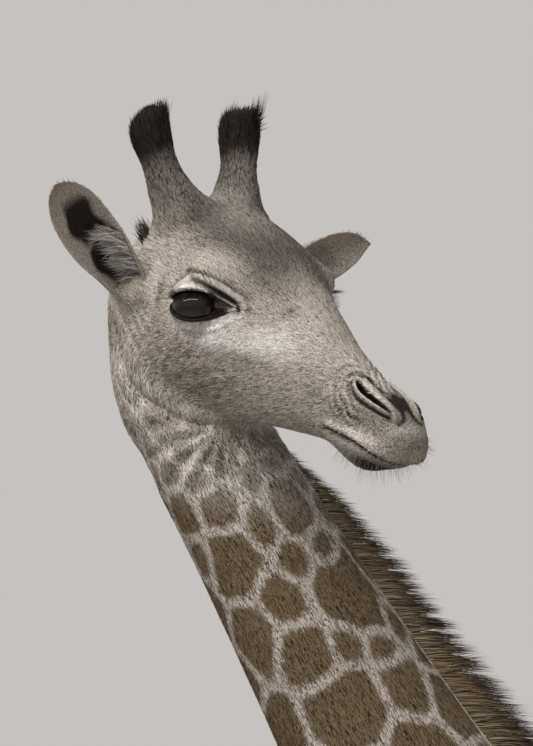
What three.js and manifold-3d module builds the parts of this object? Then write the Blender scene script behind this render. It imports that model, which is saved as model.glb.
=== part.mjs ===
// A life-size standing giraffe: an adult cow that looks back over her left shoulder.
// Millimetres, +Z up. The body faces -Y and its left side faces +X. The origin lies on the floor,
// under the middle of the animal.
//
// Every part of the body is a loft: rings of flesh set across a line of bones. The rings come from short
// tables of named places, joined by smooth curves. Where two parts meet, one is cut back from the other,
// so that they touch across a hairline gap.
import * as THREE from "three";
import { mergeVertices } from "three/addons/utils/BufferGeometryUtils.js";
import Module from "manifold-3d";

const wasm = await Module();
wasm.setup();

// ---------------------------------------------------------------- driving sizes
const GAP = 0.4; // hairline between neighbouring parts
const MIDDLE = { x: 26, y: 341 }; // moves the animal so that the origin is under its middle

// The head: the point midway between the eyes, and how the head is turned on the body.
const HEAD_AT = new THREE.Vector3(138, -1383, 3900);
const HEAD_TURN = 136.4; // degrees to the left, away from straight ahead
const HEAD_NOD = 20.2; // degrees down
const HEAD_TILT = 4.2; // degrees, left side up

const EYE_RADIUS = 30;
const EYE_SIDE = 109; // the eyeball's centre, out from the middle of the head
const EYE_FORWARD = -18;
const EYE_UP = -11;
const EAR_LENGTH = 215;
const HOOF_HEIGHT = 96;
const HOOF_CLEFT = 9;
const MANE_HEIGHT = 80;

// ---------------------------------------------------------------- small maths
const radians = THREE.MathUtils.degToRad;
const { lerp, clamp } = THREE.MathUtils;
const bell = (x) => Math.exp(-x * x);

// A smooth curve through (place, value) pairs that never overshoots them.
function smoothCurve(places, values) {
  const last = places.length - 1;
  const slopes = [];
  for (let i = 0; i < last; i++) slopes.push((values[i + 1] - values[i]) / (places[i + 1] - places[i]));
  const tangents = slopes.map((right, i) => {
    if (i === 0) return right;
    const left = slopes[i - 1];
    return left * right <= 0 ? 0 : (2 * left * right) / (left + right);
  });
  tangents.push(slopes[last - 1]);
  return (x) => {
    const at = clamp(x, places[0], places[last]);
    let i = 0;
    while (i < last - 1 && at > places[i + 1]) i++;
    const width = places[i + 1] - places[i];
    const t = (at - places[i]) / width;
    const keep = (1 + 2 * t) * (1 - t) * (1 - t);
    const next = t * t * (3 - 2 * t);
    const leave = t * (1 - t) * (1 - t) * width;
    const arrive = t * t * (t - 1) * width;
    return values[i] * keep + values[i + 1] * next + tangents[i] * leave + tangents[i + 1] * arrive;
  };
}

// Turns rows such as { at, top, bottom } into smooth functions of at, one for each column.
function smoothTable(rows, key = "at") {
  const places = rows.map((row) => row[key]);
  const table = { first: places[0], last: places[places.length - 1] };
  for (const column of Object.keys(rows[0]))
    if (column !== key && column !== "place")
      table[column] = smoothCurve(places, rows.map((row) => row[column]));
  return table;
}

// A number from 0 to 1 moved so that steps fall closer together near a place.
const steps = (count) => Array.from({ length: count + 1 }, (_, i) => i / count);

// A power of a sine or cosine that keeps its sign: 1 gives a circle, less gives a boxy outline.
const signedPower = (x, power) => Math.sign(x) * Math.abs(x) ** power;

// A point on an egg-shaped outline: angle 0 is the top and a quarter turn is the left side.
function outline(angle, half, up, down, above = 2, below = 2) {
  const upper = Math.cos(angle) >= 0;
  const power = 2 / (upper ? above : below);
  return {
    side: half * signedPower(Math.sin(angle), power),
    rise: (upper ? up : down) * signedPower(Math.cos(angle), power),
  };
}

// ---------------------------------------------------------------- solids
// A closed surface over a stack of rings with equal counts of points, with a fan over each end.
function closedLoft(rings) {
  const count = rings[0].length;
  const points = rings.flat();
  const faces = [];
  for (let r = 0; r + 1 < rings.length; r++)
    for (let i = 0; i < count; i++) {
      const j = (i + 1) % count;
      const [a, b, c, d] = [r * count + i, r * count + j, (r + 1) * count + j, (r + 1) * count + i];
      faces.push(a, b, c, a, c, d);
    }
  for (const [ring, first] of [[rings[0], 0], [rings.at(-1), (rings.length - 1) * count]]) {
    const centre = ring.reduce((sum, p) => sum.add(p), new THREE.Vector3()).divideScalar(count);
    const hub = points.push(centre) - 1;
    for (let i = 0; i < count; i++) {
      const j = (i + 1) % count;
      if (first === 0) faces.push(hub, j, i);
      else faces.push(hub, first + i, first + j);
    }
  }
  return facingOut(points, faces);
}

// Builds the geometry, and turns its faces round if they point inwards.
function facingOut(points, faces) {
  let volume = 0;
  for (let k = 0; k < faces.length; k += 3) {
    const [a, b, c] = [points[faces[k]], points[faces[k + 1]], points[faces[k + 2]]];
    volume += a.dot(new THREE.Vector3().crossVectors(b, c));
  }
  if (volume < 0) faces.reverse();
  return new THREE.BufferGeometry().setFromPoints(points).setIndex(faces);
}

function toSolid(geometry) {
  const bare = geometry.clone();
  bare.deleteAttribute("normal");
  bare.deleteAttribute("uv");
  const merged = mergeVertices(bare, 1e-4);
  return new wasm.Manifold(
    new wasm.Mesh({
      numProp: 3,
      vertProperties: merged.attributes.position.array,
      triVerts: new Uint32Array(merged.index.array),
    }),
  );
}

// The largest piece of a solid, so that slivers left by a cut are dropped.
function largestPiece(solid) {
  return solid.decompose().reduce((best, piece) => (piece.volume() > best.volume() ? piece : best));
}

function toGeometry(solid) {
  const { numProp, vertProperties, triVerts, numVert } = solid.getMesh();
  const positions = new Float32Array(numVert * 3);
  for (let i = 0; i < numVert; i++)
    positions.set(vertProperties.subarray(i * numProp, i * numProp + 3), i * 3);
  return new THREE.BufferGeometry()
    .setAttribute("position", new THREE.BufferAttribute(positions, 3))
    .setIndex(new THREE.BufferAttribute(new Uint32Array(triVerts), 1));
}

// ---------------------------------------------------------------- trunk and neck
// Rings of flesh from the rump to the skull. Each row gives the ring's point on the back and its point on
// the belly or throat (y and z), its half-width, the height of its widest level as a share of its depth,
// how boxy it is above and below (2 is an ellipse), and how far the neck is twisted there, in degrees.
const SPINE = [
  { place: "rump end", backY: 850, backZ: 2115, bellyY: 892, bellyZ: 1985, half: 66, level: 0.5, above: 2, below: 2, turn: 0 },
  { place: "pin bones", backY: 812, backZ: 2188, bellyY: 868, bellyZ: 1870, half: 150, level: 0.5, above: 2, below: 2, turn: 0 },
  { place: "croup", backY: 670, backZ: 2310, bellyY: 770, bellyZ: 1745, half: 222, level: 0.52, above: 1.9, below: 2, turn: 0 },
  { place: "hips", backY: 500, backZ: 2392, bellyY: 570, bellyZ: 1712, half: 252, level: 0.52, above: 1.9, below: 2.1, turn: 0 },
  { place: "loin", backY: 280, backZ: 2462, bellyY: 300, bellyZ: 1695, half: 268, level: 0.47, above: 1.8, below: 2.2, turn: 0 },
  { place: "ribs", backY: 20, backZ: 2542, bellyY: 20, bellyZ: 1648, half: 292, level: 0.45, above: 1.7, below: 2.2, turn: 0 },
  { place: "girth", backY: -220, backZ: 2628, bellyY: -260, bellyZ: 1618, half: 282, level: 0.44, above: 1.6, below: 2.1, turn: 0 },
  { place: "withers", backY: -420, backZ: 2702, bellyY: -520, bellyZ: 1640, half: 256, level: 0.44, above: 1.6, below: 2, turn: 0 },
  { place: "shoulder", backY: -530, backZ: 2772, bellyY: -728, bellyZ: 1800, half: 226, level: 0.45, above: 1.7, below: 1.9, turn: 0 },
  { place: "neck root", backY: -660, backZ: 2882, bellyY: -842, bellyZ: 2120, half: 186, level: 0.46, above: 1.8, below: 1.9, turn: 0 },
  { place: "low neck", backY: -800, backZ: 3016, bellyY: -980, bellyZ: 2470, half: 150, level: 0.47, above: 1.9, below: 2, turn: 0 },
  { place: "mid neck", backY: -930, backZ: 3154, bellyY: -1125, bellyZ: 2790, half: 126, level: 0.48, above: 2, below: 2, turn: 0 },
  { place: "upper third", backY: -1064, backZ: 3307, bellyY: -1304, bellyZ: 3168, half: 108, level: 0.5, above: 2, below: 2, turn: 5 },
  { place: "high neck", backY: -1197, backZ: 3500, bellyY: -1405, bellyZ: 3380, half: 98, level: 0.5, above: 2, below: 2, turn: 27 },
  { place: "below throat", backY: -1295, backZ: 3654, bellyY: -1485, bellyZ: 3544, half: 94, level: 0.5, above: 2, below: 2, turn: 47 },
  { place: "throat", backY: -1364, backZ: 3773, bellyY: -1552, bellyZ: 3677, half: 92, level: 0.5, above: 2, below: 2, turn: 70 },
  { place: "atlas wing", backY: -1384, backZ: 3821, bellyY: -1574, bellyZ: 3753, half: 107, level: 0.5, above: 2, below: 2.1, turn: 88 },
  { place: "atlas", backY: -1406, backZ: 3867, bellyY: -1594, bellyZ: 3827, half: 99, level: 0.5, above: 2, below: 2.1, turn: 108 },
  { place: "skull base", backY: -1432, backZ: 3927, bellyY: -1592, bellyZ: 3913, half: 90, level: 0.5, above: 2, below: 2, turn: 128 },
  { place: "nape", backY: -1440, backZ: 3977, bellyY: -1548, bellyZ: 3997, half: 60, level: 0.5, above: 2, below: 2, turn: 132 },
];
const NAPE_SWAY = 37; // the nape bends this far to the left of the body's middle plane
const alongSpine = [0];
SPINE.slice(1).forEach((row, i) => alongSpine.push(alongSpine[i]
  + 0.5 * Math.hypot(row.backY - SPINE[i].backY, row.backZ - SPINE[i].backZ)
  + 0.5 * Math.hypot(row.bellyY - SPINE[i].bellyY, row.bellyZ - SPINE[i].bellyZ)));
SPINE.forEach((row, i) => (row.at = alongSpine[i]));
const spine = smoothTable(SPINE);
const spineAt = (place) => SPINE.find((row) => row.place === place).at;

// At a distance along the line: the ring's middle at its widest level, its depths above and below, the
// way to its crest and the way to its left.
function spineFrame(at) {
  const back = new THREE.Vector3(0, spine.backY(at), spine.backZ(at));
  const belly = new THREE.Vector3(0, spine.bellyY(at), spine.bellyZ(at));
  const depth = back.distanceTo(belly);
  const up = back.clone().sub(belly).normalize();
  const left = new THREE.Vector3(1, 0, 0);
  const turn = radians(spine.turn(at));
  const sway = clamp((at - spineAt("atlas")) / (spine.last - spineAt("atlas")), 0, 1);
  return {
    middle: belly.lerp(back, spine.level(at)).setX(NAPE_SWAY * sway * sway),
    above: depth * (1 - spine.level(at)),
    below: depth * spine.level(at),
    along: new THREE.Vector3().crossVectors(left, up).negate(),
    crest: up.clone().multiplyScalar(Math.cos(turn)).addScaledVector(left, -Math.sin(turn)),
    left: left.clone().multiplyScalar(Math.cos(turn)).addScaledVector(up, Math.sin(turn)),
  };
}

function spineRing(at, sides, grow = 0) {
  const { middle, above, below, crest, left } = spineFrame(at);
  return Array.from({ length: sides }, (_, i) => {
    const p = outline((2 * Math.PI * i) / sides, spine.half(at) + grow, above + grow, below + grow,
      spine.above(at), spine.below(at));
    return middle.clone().addScaledVector(left, p.side).addScaledVector(crest, p.rise);
  });
}

// Rings from one place on the line to another, as a list of distances.
const stops = (from, to, rings) => steps(rings).map((t) => lerp(from, to, t));
const spineLoft = (places, sides, grow = 0) => closedLoft(places.map((at) => spineRing(at, sides, grow)));

const NECK_CUT = spineAt("neck root"); // where the neck is parted from the trunk
const NECK_JOIN = spineAt("upper third") - 40; // where the upper neck is parted from the lower
const TRUNK_STOPS = stops(0, NECK_CUT - GAP / 2, 22);
const LOWER_NECK_STOPS = stops(NECK_CUT + GAP / 2, NECK_JOIN - GAP / 2, 6);
const UPPER_NECK_STOPS = stops(NECK_JOIN + GAP / 2, spine.last, 15);

// ---------------------------------------------------------------- head
// Rings of flesh across a straight line from the nape to the lips. at is the distance ahead of the eyes;
// top, bottom and level (the widest part) are heights above the eye line.
const HEAD = [
  { place: "back", at: -232, top: 12, bottom: -62, half: 42, level: -24, above: 2, below: 2 },
  { place: "nape", at: -205, top: 58, bottom: -108, half: 72, level: -24, above: 2, below: 2 },
  { place: "poll", at: -150, top: 106, bottom: -160, half: 92, level: -16, above: 2.2, below: 2.1 },
  { place: "crown", at: -85, top: 112, bottom: -180, half: 103, level: -8, above: 2.5, below: 2 },
  { place: "eye", at: 0, top: 88, bottom: -176, half: 110, level: -2, above: 2.6, below: 1.8 },
  { place: "cheek", at: 60, top: 60, bottom: -165, half: 86, level: -22, above: 2.2, below: 1.8 },
  { place: "bridge", at: 120, top: 30, bottom: -153, half: 64, level: -48, above: 2, below: 1.9 },
  { place: "nose", at: 180, top: -8, bottom: -146, half: 53, level: -72, above: 2, below: 2 },
  { place: "mouth corner", at: 225, top: -30, bottom: -154, half: 50, level: -84, above: 2, below: 2.2 },
  { place: "nostril", at: 265, top: -46, bottom: -157, half: 51, level: -90, above: 2.1, below: 2.1 },
  { place: "nose tip", at: 296, top: -60, bottom: -150, half: 49, level: -98, above: 2.1, below: 2.2 },
  { place: "lip", at: 320, top: -80, bottom: -139, half: 38, level: -108, above: 2, below: 2.2 },
  { place: "lip front", at: 334, top: -100, bottom: -126, half: 16, level: -113, above: 2, below: 2 },
];
const headTable = smoothTable(HEAD);

// Swellings (+) and hollows (-) of the head, on both sides: where each lies, its reach along, across and
// up, and how far it pushes the flesh out.
const FORMS = [
  { form: "brow", at: [-6, 100, 34], reach: [40, 44, 17], push: 23 },
  { form: "eye socket", at: [-4, 112, -2], reach: [30, 34, 17], push: -8 },
  { form: "temple hollow", at: [-72, 92, 30], reach: [26, 40, 26], push: -9 },
  { form: "chewing muscle", at: [-72, 82, -98], reach: [62, 60, 50], push: 11 },
  { form: "cheekbone", at: [45, 84, -48], reach: [70, 40, 15], push: 8 },
  { form: "hollow before the eye", at: [78, 60, -12], reach: [42, 34, 20], push: -6 },
  { form: "jaw angle", at: [-112, 66, -160], reach: [34, 44, 26], push: 8 },
  { form: "nostril rim", at: [288, 46, -60], reach: [34, 26, 18], push: 9 },
  { form: "upper lip", at: [300, 48, -122], reach: [42, 36, 20], push: 7 },
  { form: "chin", at: [248, 8, -162], reach: [30, 36, 20], push: 9 },
  { form: "hollow under the jaw", at: [40, 0, -170], reach: [110, 22, 26], push: -9 },
  { form: "horn root", at: [-142, 52, 104], reach: [40, 34, 40], push: 12 },
];

const headPlacing = new THREE.Matrix4().makeRotationFromEuler(
  new THREE.Euler(radians(HEAD_NOD), radians(-HEAD_TILT), radians(HEAD_TURN), "ZXY"));
headPlacing.setPosition(HEAD_AT);
// From the head's own measures (ahead, left, up) to the body's.
const onHead = (ahead, left, up) => new THREE.Vector3(left, -ahead, up).applyMatrix4(headPlacing);

function headPoint(at, angle, grow = 0) {
  const level = headTable.level(at);
  const up = headTable.top(at) - level + grow;
  const down = level - headTable.bottom(at) + grow;
  const p = outline(angle, headTable.half(at) + grow, up, down, headTable.above(at), headTable.below(at));
  const out = new THREE.Vector2(p.side, p.rise).normalize();
  let push = 0;
  for (const { at: [ahead, side, high], reach, push: most } of FORMS)
    push += most * bell((at - ahead) / reach[0]) * bell((level + p.rise - high) / reach[2])
      * bell((Math.abs(p.side) - side) / reach[1]);
  return onHead(at, p.side + out.x * push, level + p.rise + out.y * push);
}

function headLoft(rings, sides, grow = 0) {
  const from = headTable.first - grow;
  const to = headTable.last + grow;
  return closedLoft(steps(rings).map((t) => {
    const at = lerp(from, to, t - 0.03 * Math.sin(2 * Math.PI * t)); // rings closer together at both ends
    return Array.from({ length: sides }, (_, i) => headPoint(at, (2 * Math.PI * i) / sides, grow));
  }));
}

function eyeball(side, grow = 0) {
  const centre = onHead(EYE_FORWARD, side * EYE_SIDE, EYE_UP);
  return new THREE.SphereGeometry(EYE_RADIUS + grow, 12, 8).translate(centre.x, centre.y, centre.z);
}

// The mouth: a curved blade that parts the lower jaw from the head, from the lips to the cheek.
const MOUTH_LINE = smoothCurve([-60, 90, 207, 263, 303, 321, 352], [-104, -112, -117, -120, -127, -134, -140]);
function jawBlade() {
  const rows = steps(10).map((t) => lerp(40, 370, t));
  return closedLoft(rows.map((at) => {
    const z = MOUTH_LINE(at);
    return [[130, z], [-130, z], [-130, -400], [130, -400]].map(([side, up]) => onHead(at, side, up));
  }));
}

// ---------------------------------------------------------------- ossicones and ears
// A line with sections across it: base to tip, and a sideways sense for flat sections.
function path(from, to, facing) {
  const along = to.clone().sub(from).normalize();
  const across = new THREE.Vector3().crossVectors(facing, along).normalize();
  return { from, to, along, across, face: new THREE.Vector3().crossVectors(along, across) };
}

// A skin-covered bone horn: flared root, slim waist, and a wide brush of hair round its flat end.
const OSSICONE = smoothTable([
  { at: 0, wide: 44, deep: 52 },
  { at: 0.22, wide: 33, deep: 40 },
  { at: 0.5, wide: 25, deep: 29 },
  { at: 0.78, wide: 31, deep: 32 },
  { at: 0.93, wide: 29, deep: 30 },
  { at: 1, wide: 19, deep: 20 },
]);
function ossicone(side) {
  const root = onHead(-128, side * 44, 82);
  const tip = onHead(-203, side * 89, 221);
  const line = path(root, tip, onHead(1, 0, 0).sub(onHead(0, 0, 0)));
  const bow = onHead(-36, side * 42, 0).sub(onHead(0, 0, 0)); // it bends forwards and inwards to its tip
  return closedLoft(steps(8).map((t) => {
    const middle = root.clone().lerp(tip, t).addScaledVector(bow, t - t * t);
    return Array.from({ length: 12 }, (_, i) => {
      const angle = (2 * Math.PI * i) / 12;
      return middle.clone()
        .addScaledVector(line.across, OSSICONE.wide(t) * Math.sin(angle))
        .addScaledVector(line.face, OSSICONE.deep(t) * Math.cos(angle));
    });
  }));
}

// An ear: a leaf of skin rolled round its own length, nearly shut at the root and flat at the tip.
const EAR = smoothTable([
  { at: 0, leaf: 52, roll: 150, shift: 0 },
  { at: 0.3, leaf: 59, roll: 120, shift: 4 },
  { at: 0.52, leaf: 57, roll: 84, shift: 6 },
  { at: 0.75, leaf: 46, roll: 60, shift: 4 },
  { at: 0.92, leaf: 26, roll: 46, shift: 0 },
  { at: 1, leaf: 9, roll: 36, shift: 0 },
]);
const EAR_THICKNESS = smoothCurve([0, 0.3, 1], [9, 6, 4]);
const EARS = {
  right: { root: [-150, -66, -50], points: [-0.04, -0.774, 0.632], opens: [0.92, -0.25, -0.28] },
  left: { root: [-146, 73, -46], points: [0.15, 0.904, 0.4], opens: [0.99, -0.09, -0.07] },
};
function ear(side) {
  const { root, points, opens } = EARS[side];
  const base = onHead(...root);
  const direction = (v) => onHead(...v).sub(onHead(0, 0, 0)).normalize();
  const tip = base.clone().addScaledVector(direction(points), EAR_LENGTH + 45);
  const line = path(base, tip, direction(opens));
  const open = line.face;
  const half = 3; // points across each half of the leaf
  return closedLoft(steps(9).map((t) => {
    const roll = radians(EAR.roll(t)); // half the angle that the leaf is rolled through
    const radius = EAR.leaf(t) / roll;
    const middle = base.clone().lerp(tip, t).addScaledVector(open, EAR.shift(t));
    const arc = (r) => Array.from({ length: 2 * half + 1 }, (_, i) => {
      const angle = (roll * (i - half)) / half;
      return middle.clone().addScaledVector(line.across, r * Math.sin(angle))
        .addScaledVector(open, radius * Math.cos(roll) * 0.5 - r * Math.cos(angle));
    });
    return [...arc(radius + EAR_THICKNESS(t) / 2), ...arc(radius - EAR_THICKNESS(t) / 2).reverse()];
  }));
}

// ---------------------------------------------------------------- legs
// Rows from the top down: z is the height, out and y place the middle of the bone, wide and deep are the
// half sizes of the leg across and along the body.
const FORELEG = smoothTable([
  { place: "coronet", z: HOOF_HEIGHT, out: 0, y: -62, wide: 60, deep: 74 },
  { place: "pastern", z: 168, out: 0, y: -34, wide: 45, deep: 52 },
  { place: "fetlock", z: 245, out: 0, y: -6, wide: 52, deep: 62 },
  { place: "above fetlock", z: 330, out: 0, y: 0, wide: 38, deep: 47 },
  { place: "cannon", z: 560, out: 0, y: 0, wide: 34, deep: 42 },
  { place: "below knee", z: 810, out: 0, y: 0, wide: 42, deep: 49 },
  { place: "knee", z: 925, out: 2, y: -6, wide: 60, deep: 63 },
  { place: "above knee", z: 1060, out: 3, y: -2, wide: 50, deep: 56 },
  { place: "forearm", z: 1400, out: 6, y: 6, wide: 64, deep: 84 },
  { place: "elbow", z: 1670, out: 6, y: 24, wide: 84, deep: 132 },
  { place: "upper arm", z: 1880, out: 14, y: 0, wide: 92, deep: 166 },
  { place: "point of shoulder", z: 2120, out: 0, y: -30, wide: 60, deep: 110 },
], "z");
const HINDLEG = smoothTable([
  { place: "coronet", z: HOOF_HEIGHT, out: 0, y: -60, wide: 56, deep: 72 },
  { place: "pastern", z: 168, out: 0, y: -32, wide: 43, deep: 50 },
  { place: "fetlock", z: 245, out: 0, y: -4, wide: 50, deep: 60 },
  { place: "above fetlock", z: 330, out: 0, y: 4, wide: 37, deep: 46 },
  { place: "cannon", z: 600, out: 0, y: 12, wide: 34, deep: 42 },
  { place: "below hock", z: 850, out: 0, y: 22, wide: 40, deep: 52 },
  { place: "hock", z: 985, out: 0, y: 30, wide: 52, deep: 74 },
  { place: "above hock", z: 1110, out: 2, y: 18, wide: 44, deep: 66 },
  { place: "gaskin", z: 1330, out: 8, y: -60, wide: 66, deep: 98 },
  { place: "stifle", z: 1590, out: 14, y: -130, wide: 92, deep: 160 },
  { place: "thigh", z: 1850, out: 14, y: -90, wide: 112, deep: 218 },
  { place: "hip", z: 2160, out: 0, y: -50, wide: 50, deep: 110 },
], "z");
const LEGS = {
  fore_left: { bones: FORELEG, side: 1, x: 158, y: -455, swing: 30 },
  fore_right: { bones: FORELEG, side: -1, x: 158, y: -455, swing: -45 },
  hind_left: { bones: HINDLEG, side: 1, x: 150, y: 690, swing: -70 },
  hind_right: { bones: HINDLEG, side: -1, x: 150, y: 690, swing: 40 },
};
// Where the middle of a leg lies at a height: swing moves the foot along the body, and the top stays.
function legMiddle({ bones, side, x, y, swing }, z) {
  const lower = 1 - clamp((z - HOOF_HEIGHT) / 1700, 0, 1);
  return new THREE.Vector3(side * (x + bones.out(z)), y + bones.y(z) + swing * lower, z);
}
function leg(name, rings = 16) {
  const shape = LEGS[name];
  const { first, last } = shape.bones;
  return closedLoft(steps(rings).map((t) => {
    const z = lerp(first + GAP, last, t ** 1.15);
    const middle = legMiddle(shape, z);
    return Array.from({ length: 12 }, (_, i) => {
      const p = outline((2 * Math.PI * i) / 12, shape.bones.wide(z), shape.bones.deep(z), shape.bones.deep(z), 2.2, 2.2);
      return middle.clone().add(new THREE.Vector3(p.side, p.rise, 0));
    });
  }));
}

// One of the two hooves of a foot: upright at the cleft, sloping at the toe, flat on the floor.
function hoof(name, half) {
  const shape = LEGS[name];
  const top = legMiddle(shape, HOOF_HEIGHT);
  const wide = shape.bones.wide(HOOF_HEIGHT);
  const deep = shape.bones.deep(HOOF_HEIGHT);
  const rings = [
    { z: 0, wide: wide + 7, toe: deep + 44, heel: deep - 2 },
    { z: 12, wide: wide + 7, toe: deep + 44, heel: deep + 1 },
    { z: 0.6 * HOOF_HEIGHT, wide: wide + 2, toe: deep + 17, heel: deep + 2 },
    { z: HOOF_HEIGHT - GAP, wide: wide - 1, toe: deep - 1, heel: deep - 1 },
  ];
  return closedLoft(rings.map((ring) =>
    Array.from({ length: 10 }, (_, i) => {
      const angle = (2 * Math.PI * i) / 10;
      const reach = Math.cos(angle) > 0 ? ring.heel : ring.toe;
      const width = (ring.wide - HOOF_CLEFT / 2) / 2;
      const side = HOOF_CLEFT / 2 + width * (1 + signedPower(Math.sin(angle), 0.8));
      return new THREE.Vector3(top.x + half * side, top.y + reach * signedPower(Math.cos(angle), 0.8), ring.z);
    })));
}

// ---------------------------------------------------------------- tail and mane
const TAIL = smoothTable([
  { at: 0, y: 780, z: 2150, radius: 42 },
  { at: 70, y: 850, z: 2160, radius: 38 },
  { at: 170, y: 926, z: 2096, radius: 31 },
  { at: 400, y: 962, z: 1872, radius: 20 },
  { at: 740, y: 968, z: 1532, radius: 14 },
  { at: 820, y: 966, z: 1452, radius: 24 },
  { at: 960, y: 962, z: 1312, radius: 36 },
  { at: 1160, y: 956, z: 1112, radius: 30 },
  { at: 1300, y: 952, z: 972, radius: 8 },
]);
const TAIL_TUFT_FROM = 740;
function tailLoft(from, to, rings, sides) {
  return closedLoft(steps(rings).map((t) => {
    const at = lerp(from, to, t);
    const middle = new THREE.Vector3(0, TAIL.y(at), TAIL.z(at));
    const along = new THREE.Vector3(0, TAIL.y(at + 5) - TAIL.y(at - 5), TAIL.z(at + 5) - TAIL.z(at - 5));
    if (along.length() < 1) along.set(0, 0, -1);
    along.normalize();
    const back = new THREE.Vector3(0, -along.z, along.y);
    return Array.from({ length: sides }, (_, i) => {
      const angle = (2 * Math.PI * i) / sides;
      return middle.clone().add(new THREE.Vector3(TAIL.radius(at) * Math.sin(angle), 0, 0))
        .addScaledVector(back, TAIL.radius(at) * Math.cos(angle));
    });
  }));
}

// A stiff brush of hair along the crest of the neck, from the withers to the poll. Its hairs lean back
// towards the withers, and it is lower at both ends.
const MANE_FROM = spineAt("withers") + 40;
const MANE_TO = spine.last - 6;
const MANE_ROOT = 14; // half the width that the hairs grow from
const MANE_LEAN = 0.45; // how far a hair leans towards the withers for each unit that it rises
const POLL = spineAt("skull base");
const maneHeight = smoothCurve(
  [MANE_FROM, spineAt("shoulder") + 60, POLL - 690, POLL - 580, POLL - 350, POLL - 200, POLL, MANE_TO],
  [12, MANE_HEIGHT, MANE_HEIGHT, 68, 58, 44, 36, 26],
);
// Degrees by which its root lies off the crest, to the animal's left, where the neck turns the head.
const maneTwist = smoothCurve([MANE_FROM, POLL - 750, POLL - 600, POLL - 450, MANE_TO], [0, 0, 8, 16, 16]);
function mane(rings) {
  return closedLoft(steps(rings).map((t) => {
    const at = lerp(MANE_TO, MANE_FROM, t ** 1.4); // rings closer together towards the head
    const { middle, above, along, crest, left } = spineFrame(at);
    const height = maneHeight(at);
    const twist = radians(maneTwist(at));
    const out = crest.clone().multiplyScalar(Math.cos(twist)).addScaledVector(left, Math.sin(twist));
    const across = left.clone().multiplyScalar(Math.cos(twist)).addScaledVector(crest, -Math.sin(twist));
    const root = middle.clone().addScaledVector(crest, above * Math.cos(twist))
      .addScaledVector(left, spine.half(at) * Math.sin(twist));
    const section = [[-MANE_ROOT, -16], [-10, height * 0.6], [-3, height], [3, height], [10, height * 0.6],
      [MANE_ROOT, -16]];
    return section.map(([side, rise]) => root.clone()
      .addScaledVector(across, side)
      .addScaledVector(out, rise)
      .addScaledVector(along, MANE_LEAN * Math.max(rise, 0)));
  }));
}

// ---------------------------------------------------------------- putting it together
const coat = new THREE.MeshStandardMaterial({ color: 0xa89a86, roughness: 0.9, metalness: 0 });
const darkHair = new THREE.MeshStandardMaterial({ color: 0x3a322b, roughness: 0.85, metalness: 0 });
const horn = new THREE.MeshStandardMaterial({ color: 0x3b332c, roughness: 0.6, metalness: 0 });
const wetEye = new THREE.MeshStandardMaterial({ color: 0x120e0b, roughness: 0.08, metalness: 0 });

const giraffe = new THREE.Group();
giraffe.position.set(-MIDDLE.x, MIDDLE.y, 0);
function addPart(name, solid, material) {
  const mesh = new THREE.Mesh(toGeometry(largestPiece(solid)), material);
  mesh.name = name;
  giraffe.add(mesh);
}

const SPINE_SIDES = 20;
const wholeSpine = [...TRUNK_STOPS, ...LOWER_NECK_STOPS, ...UPPER_NECK_STOPS];
const spineSwollen = toSolid(spineLoft(wholeSpine, SPINE_SIDES, GAP));
const head = toSolid(headLoft(26, 26));
const headSwollen = toSolid(headLoft(26, 26, GAP));
const sides = [["left", 1], ["right", -1]];

addPart("trunk", toSolid(spineLoft(TRUNK_STOPS, SPINE_SIDES)), coat);
addPart("neck_lower", toSolid(spineLoft(LOWER_NECK_STOPS, SPINE_SIDES)), coat);
addPart("neck_upper", toSolid(spineLoft(UPPER_NECK_STOPS, SPINE_SIDES)).subtract(headSwollen), coat);

let face = head;
for (const [, side] of sides) face = face.subtract(toSolid(eyeball(side, GAP)));
const blade = toSolid(jawBlade());
addPart("head", face.subtract(blade), coat);
const jawCut = blade.translate([0, 0, -GAP]);
addPart("lower_jaw", face.intersect(jawCut), coat);

for (const [name, side] of sides) {
  addPart(`eye_${name}`, toSolid(eyeball(side)), wetEye);
  addPart(`ossicone_${name}`, toSolid(ossicone(side)).subtract(headSwollen), coat);
  addPart(`ear_${name}`, toSolid(ear(name)).subtract(headSwollen).subtract(spineSwollen), coat);
}
for (const name of Object.keys(LEGS)) {
  const [end, side] = name.split("_");
  addPart(`${end}leg_${side}`, toSolid(leg(name)).subtract(spineSwollen), coat);
  addPart(`hoof_${name}_outer`, toSolid(hoof(name, LEGS[name].side)), horn);
  addPart(`hoof_${name}_inner`, toSolid(hoof(name, -LEGS[name].side)), horn);
}
addPart("tail", toSolid(tailLoft(0, TAIL_TUFT_FROM - GAP, 12, 10)).subtract(spineSwollen), coat);
addPart("tail_tuft", toSolid(tailLoft(TAIL_TUFT_FROM, TAIL.last, 8, 10)), darkHair);
addPart("mane", toSolid(mane(24)).subtract(spineSwollen).subtract(headSwollen), darkHair);

export default giraffe;
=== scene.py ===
"""A life-size standing giraffe that looks back over her left shoulder: skin, short coat, mane, eyes and
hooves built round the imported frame. Metres, +Z up; the body faces -Y and its left side faces +X."""
import math

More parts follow.
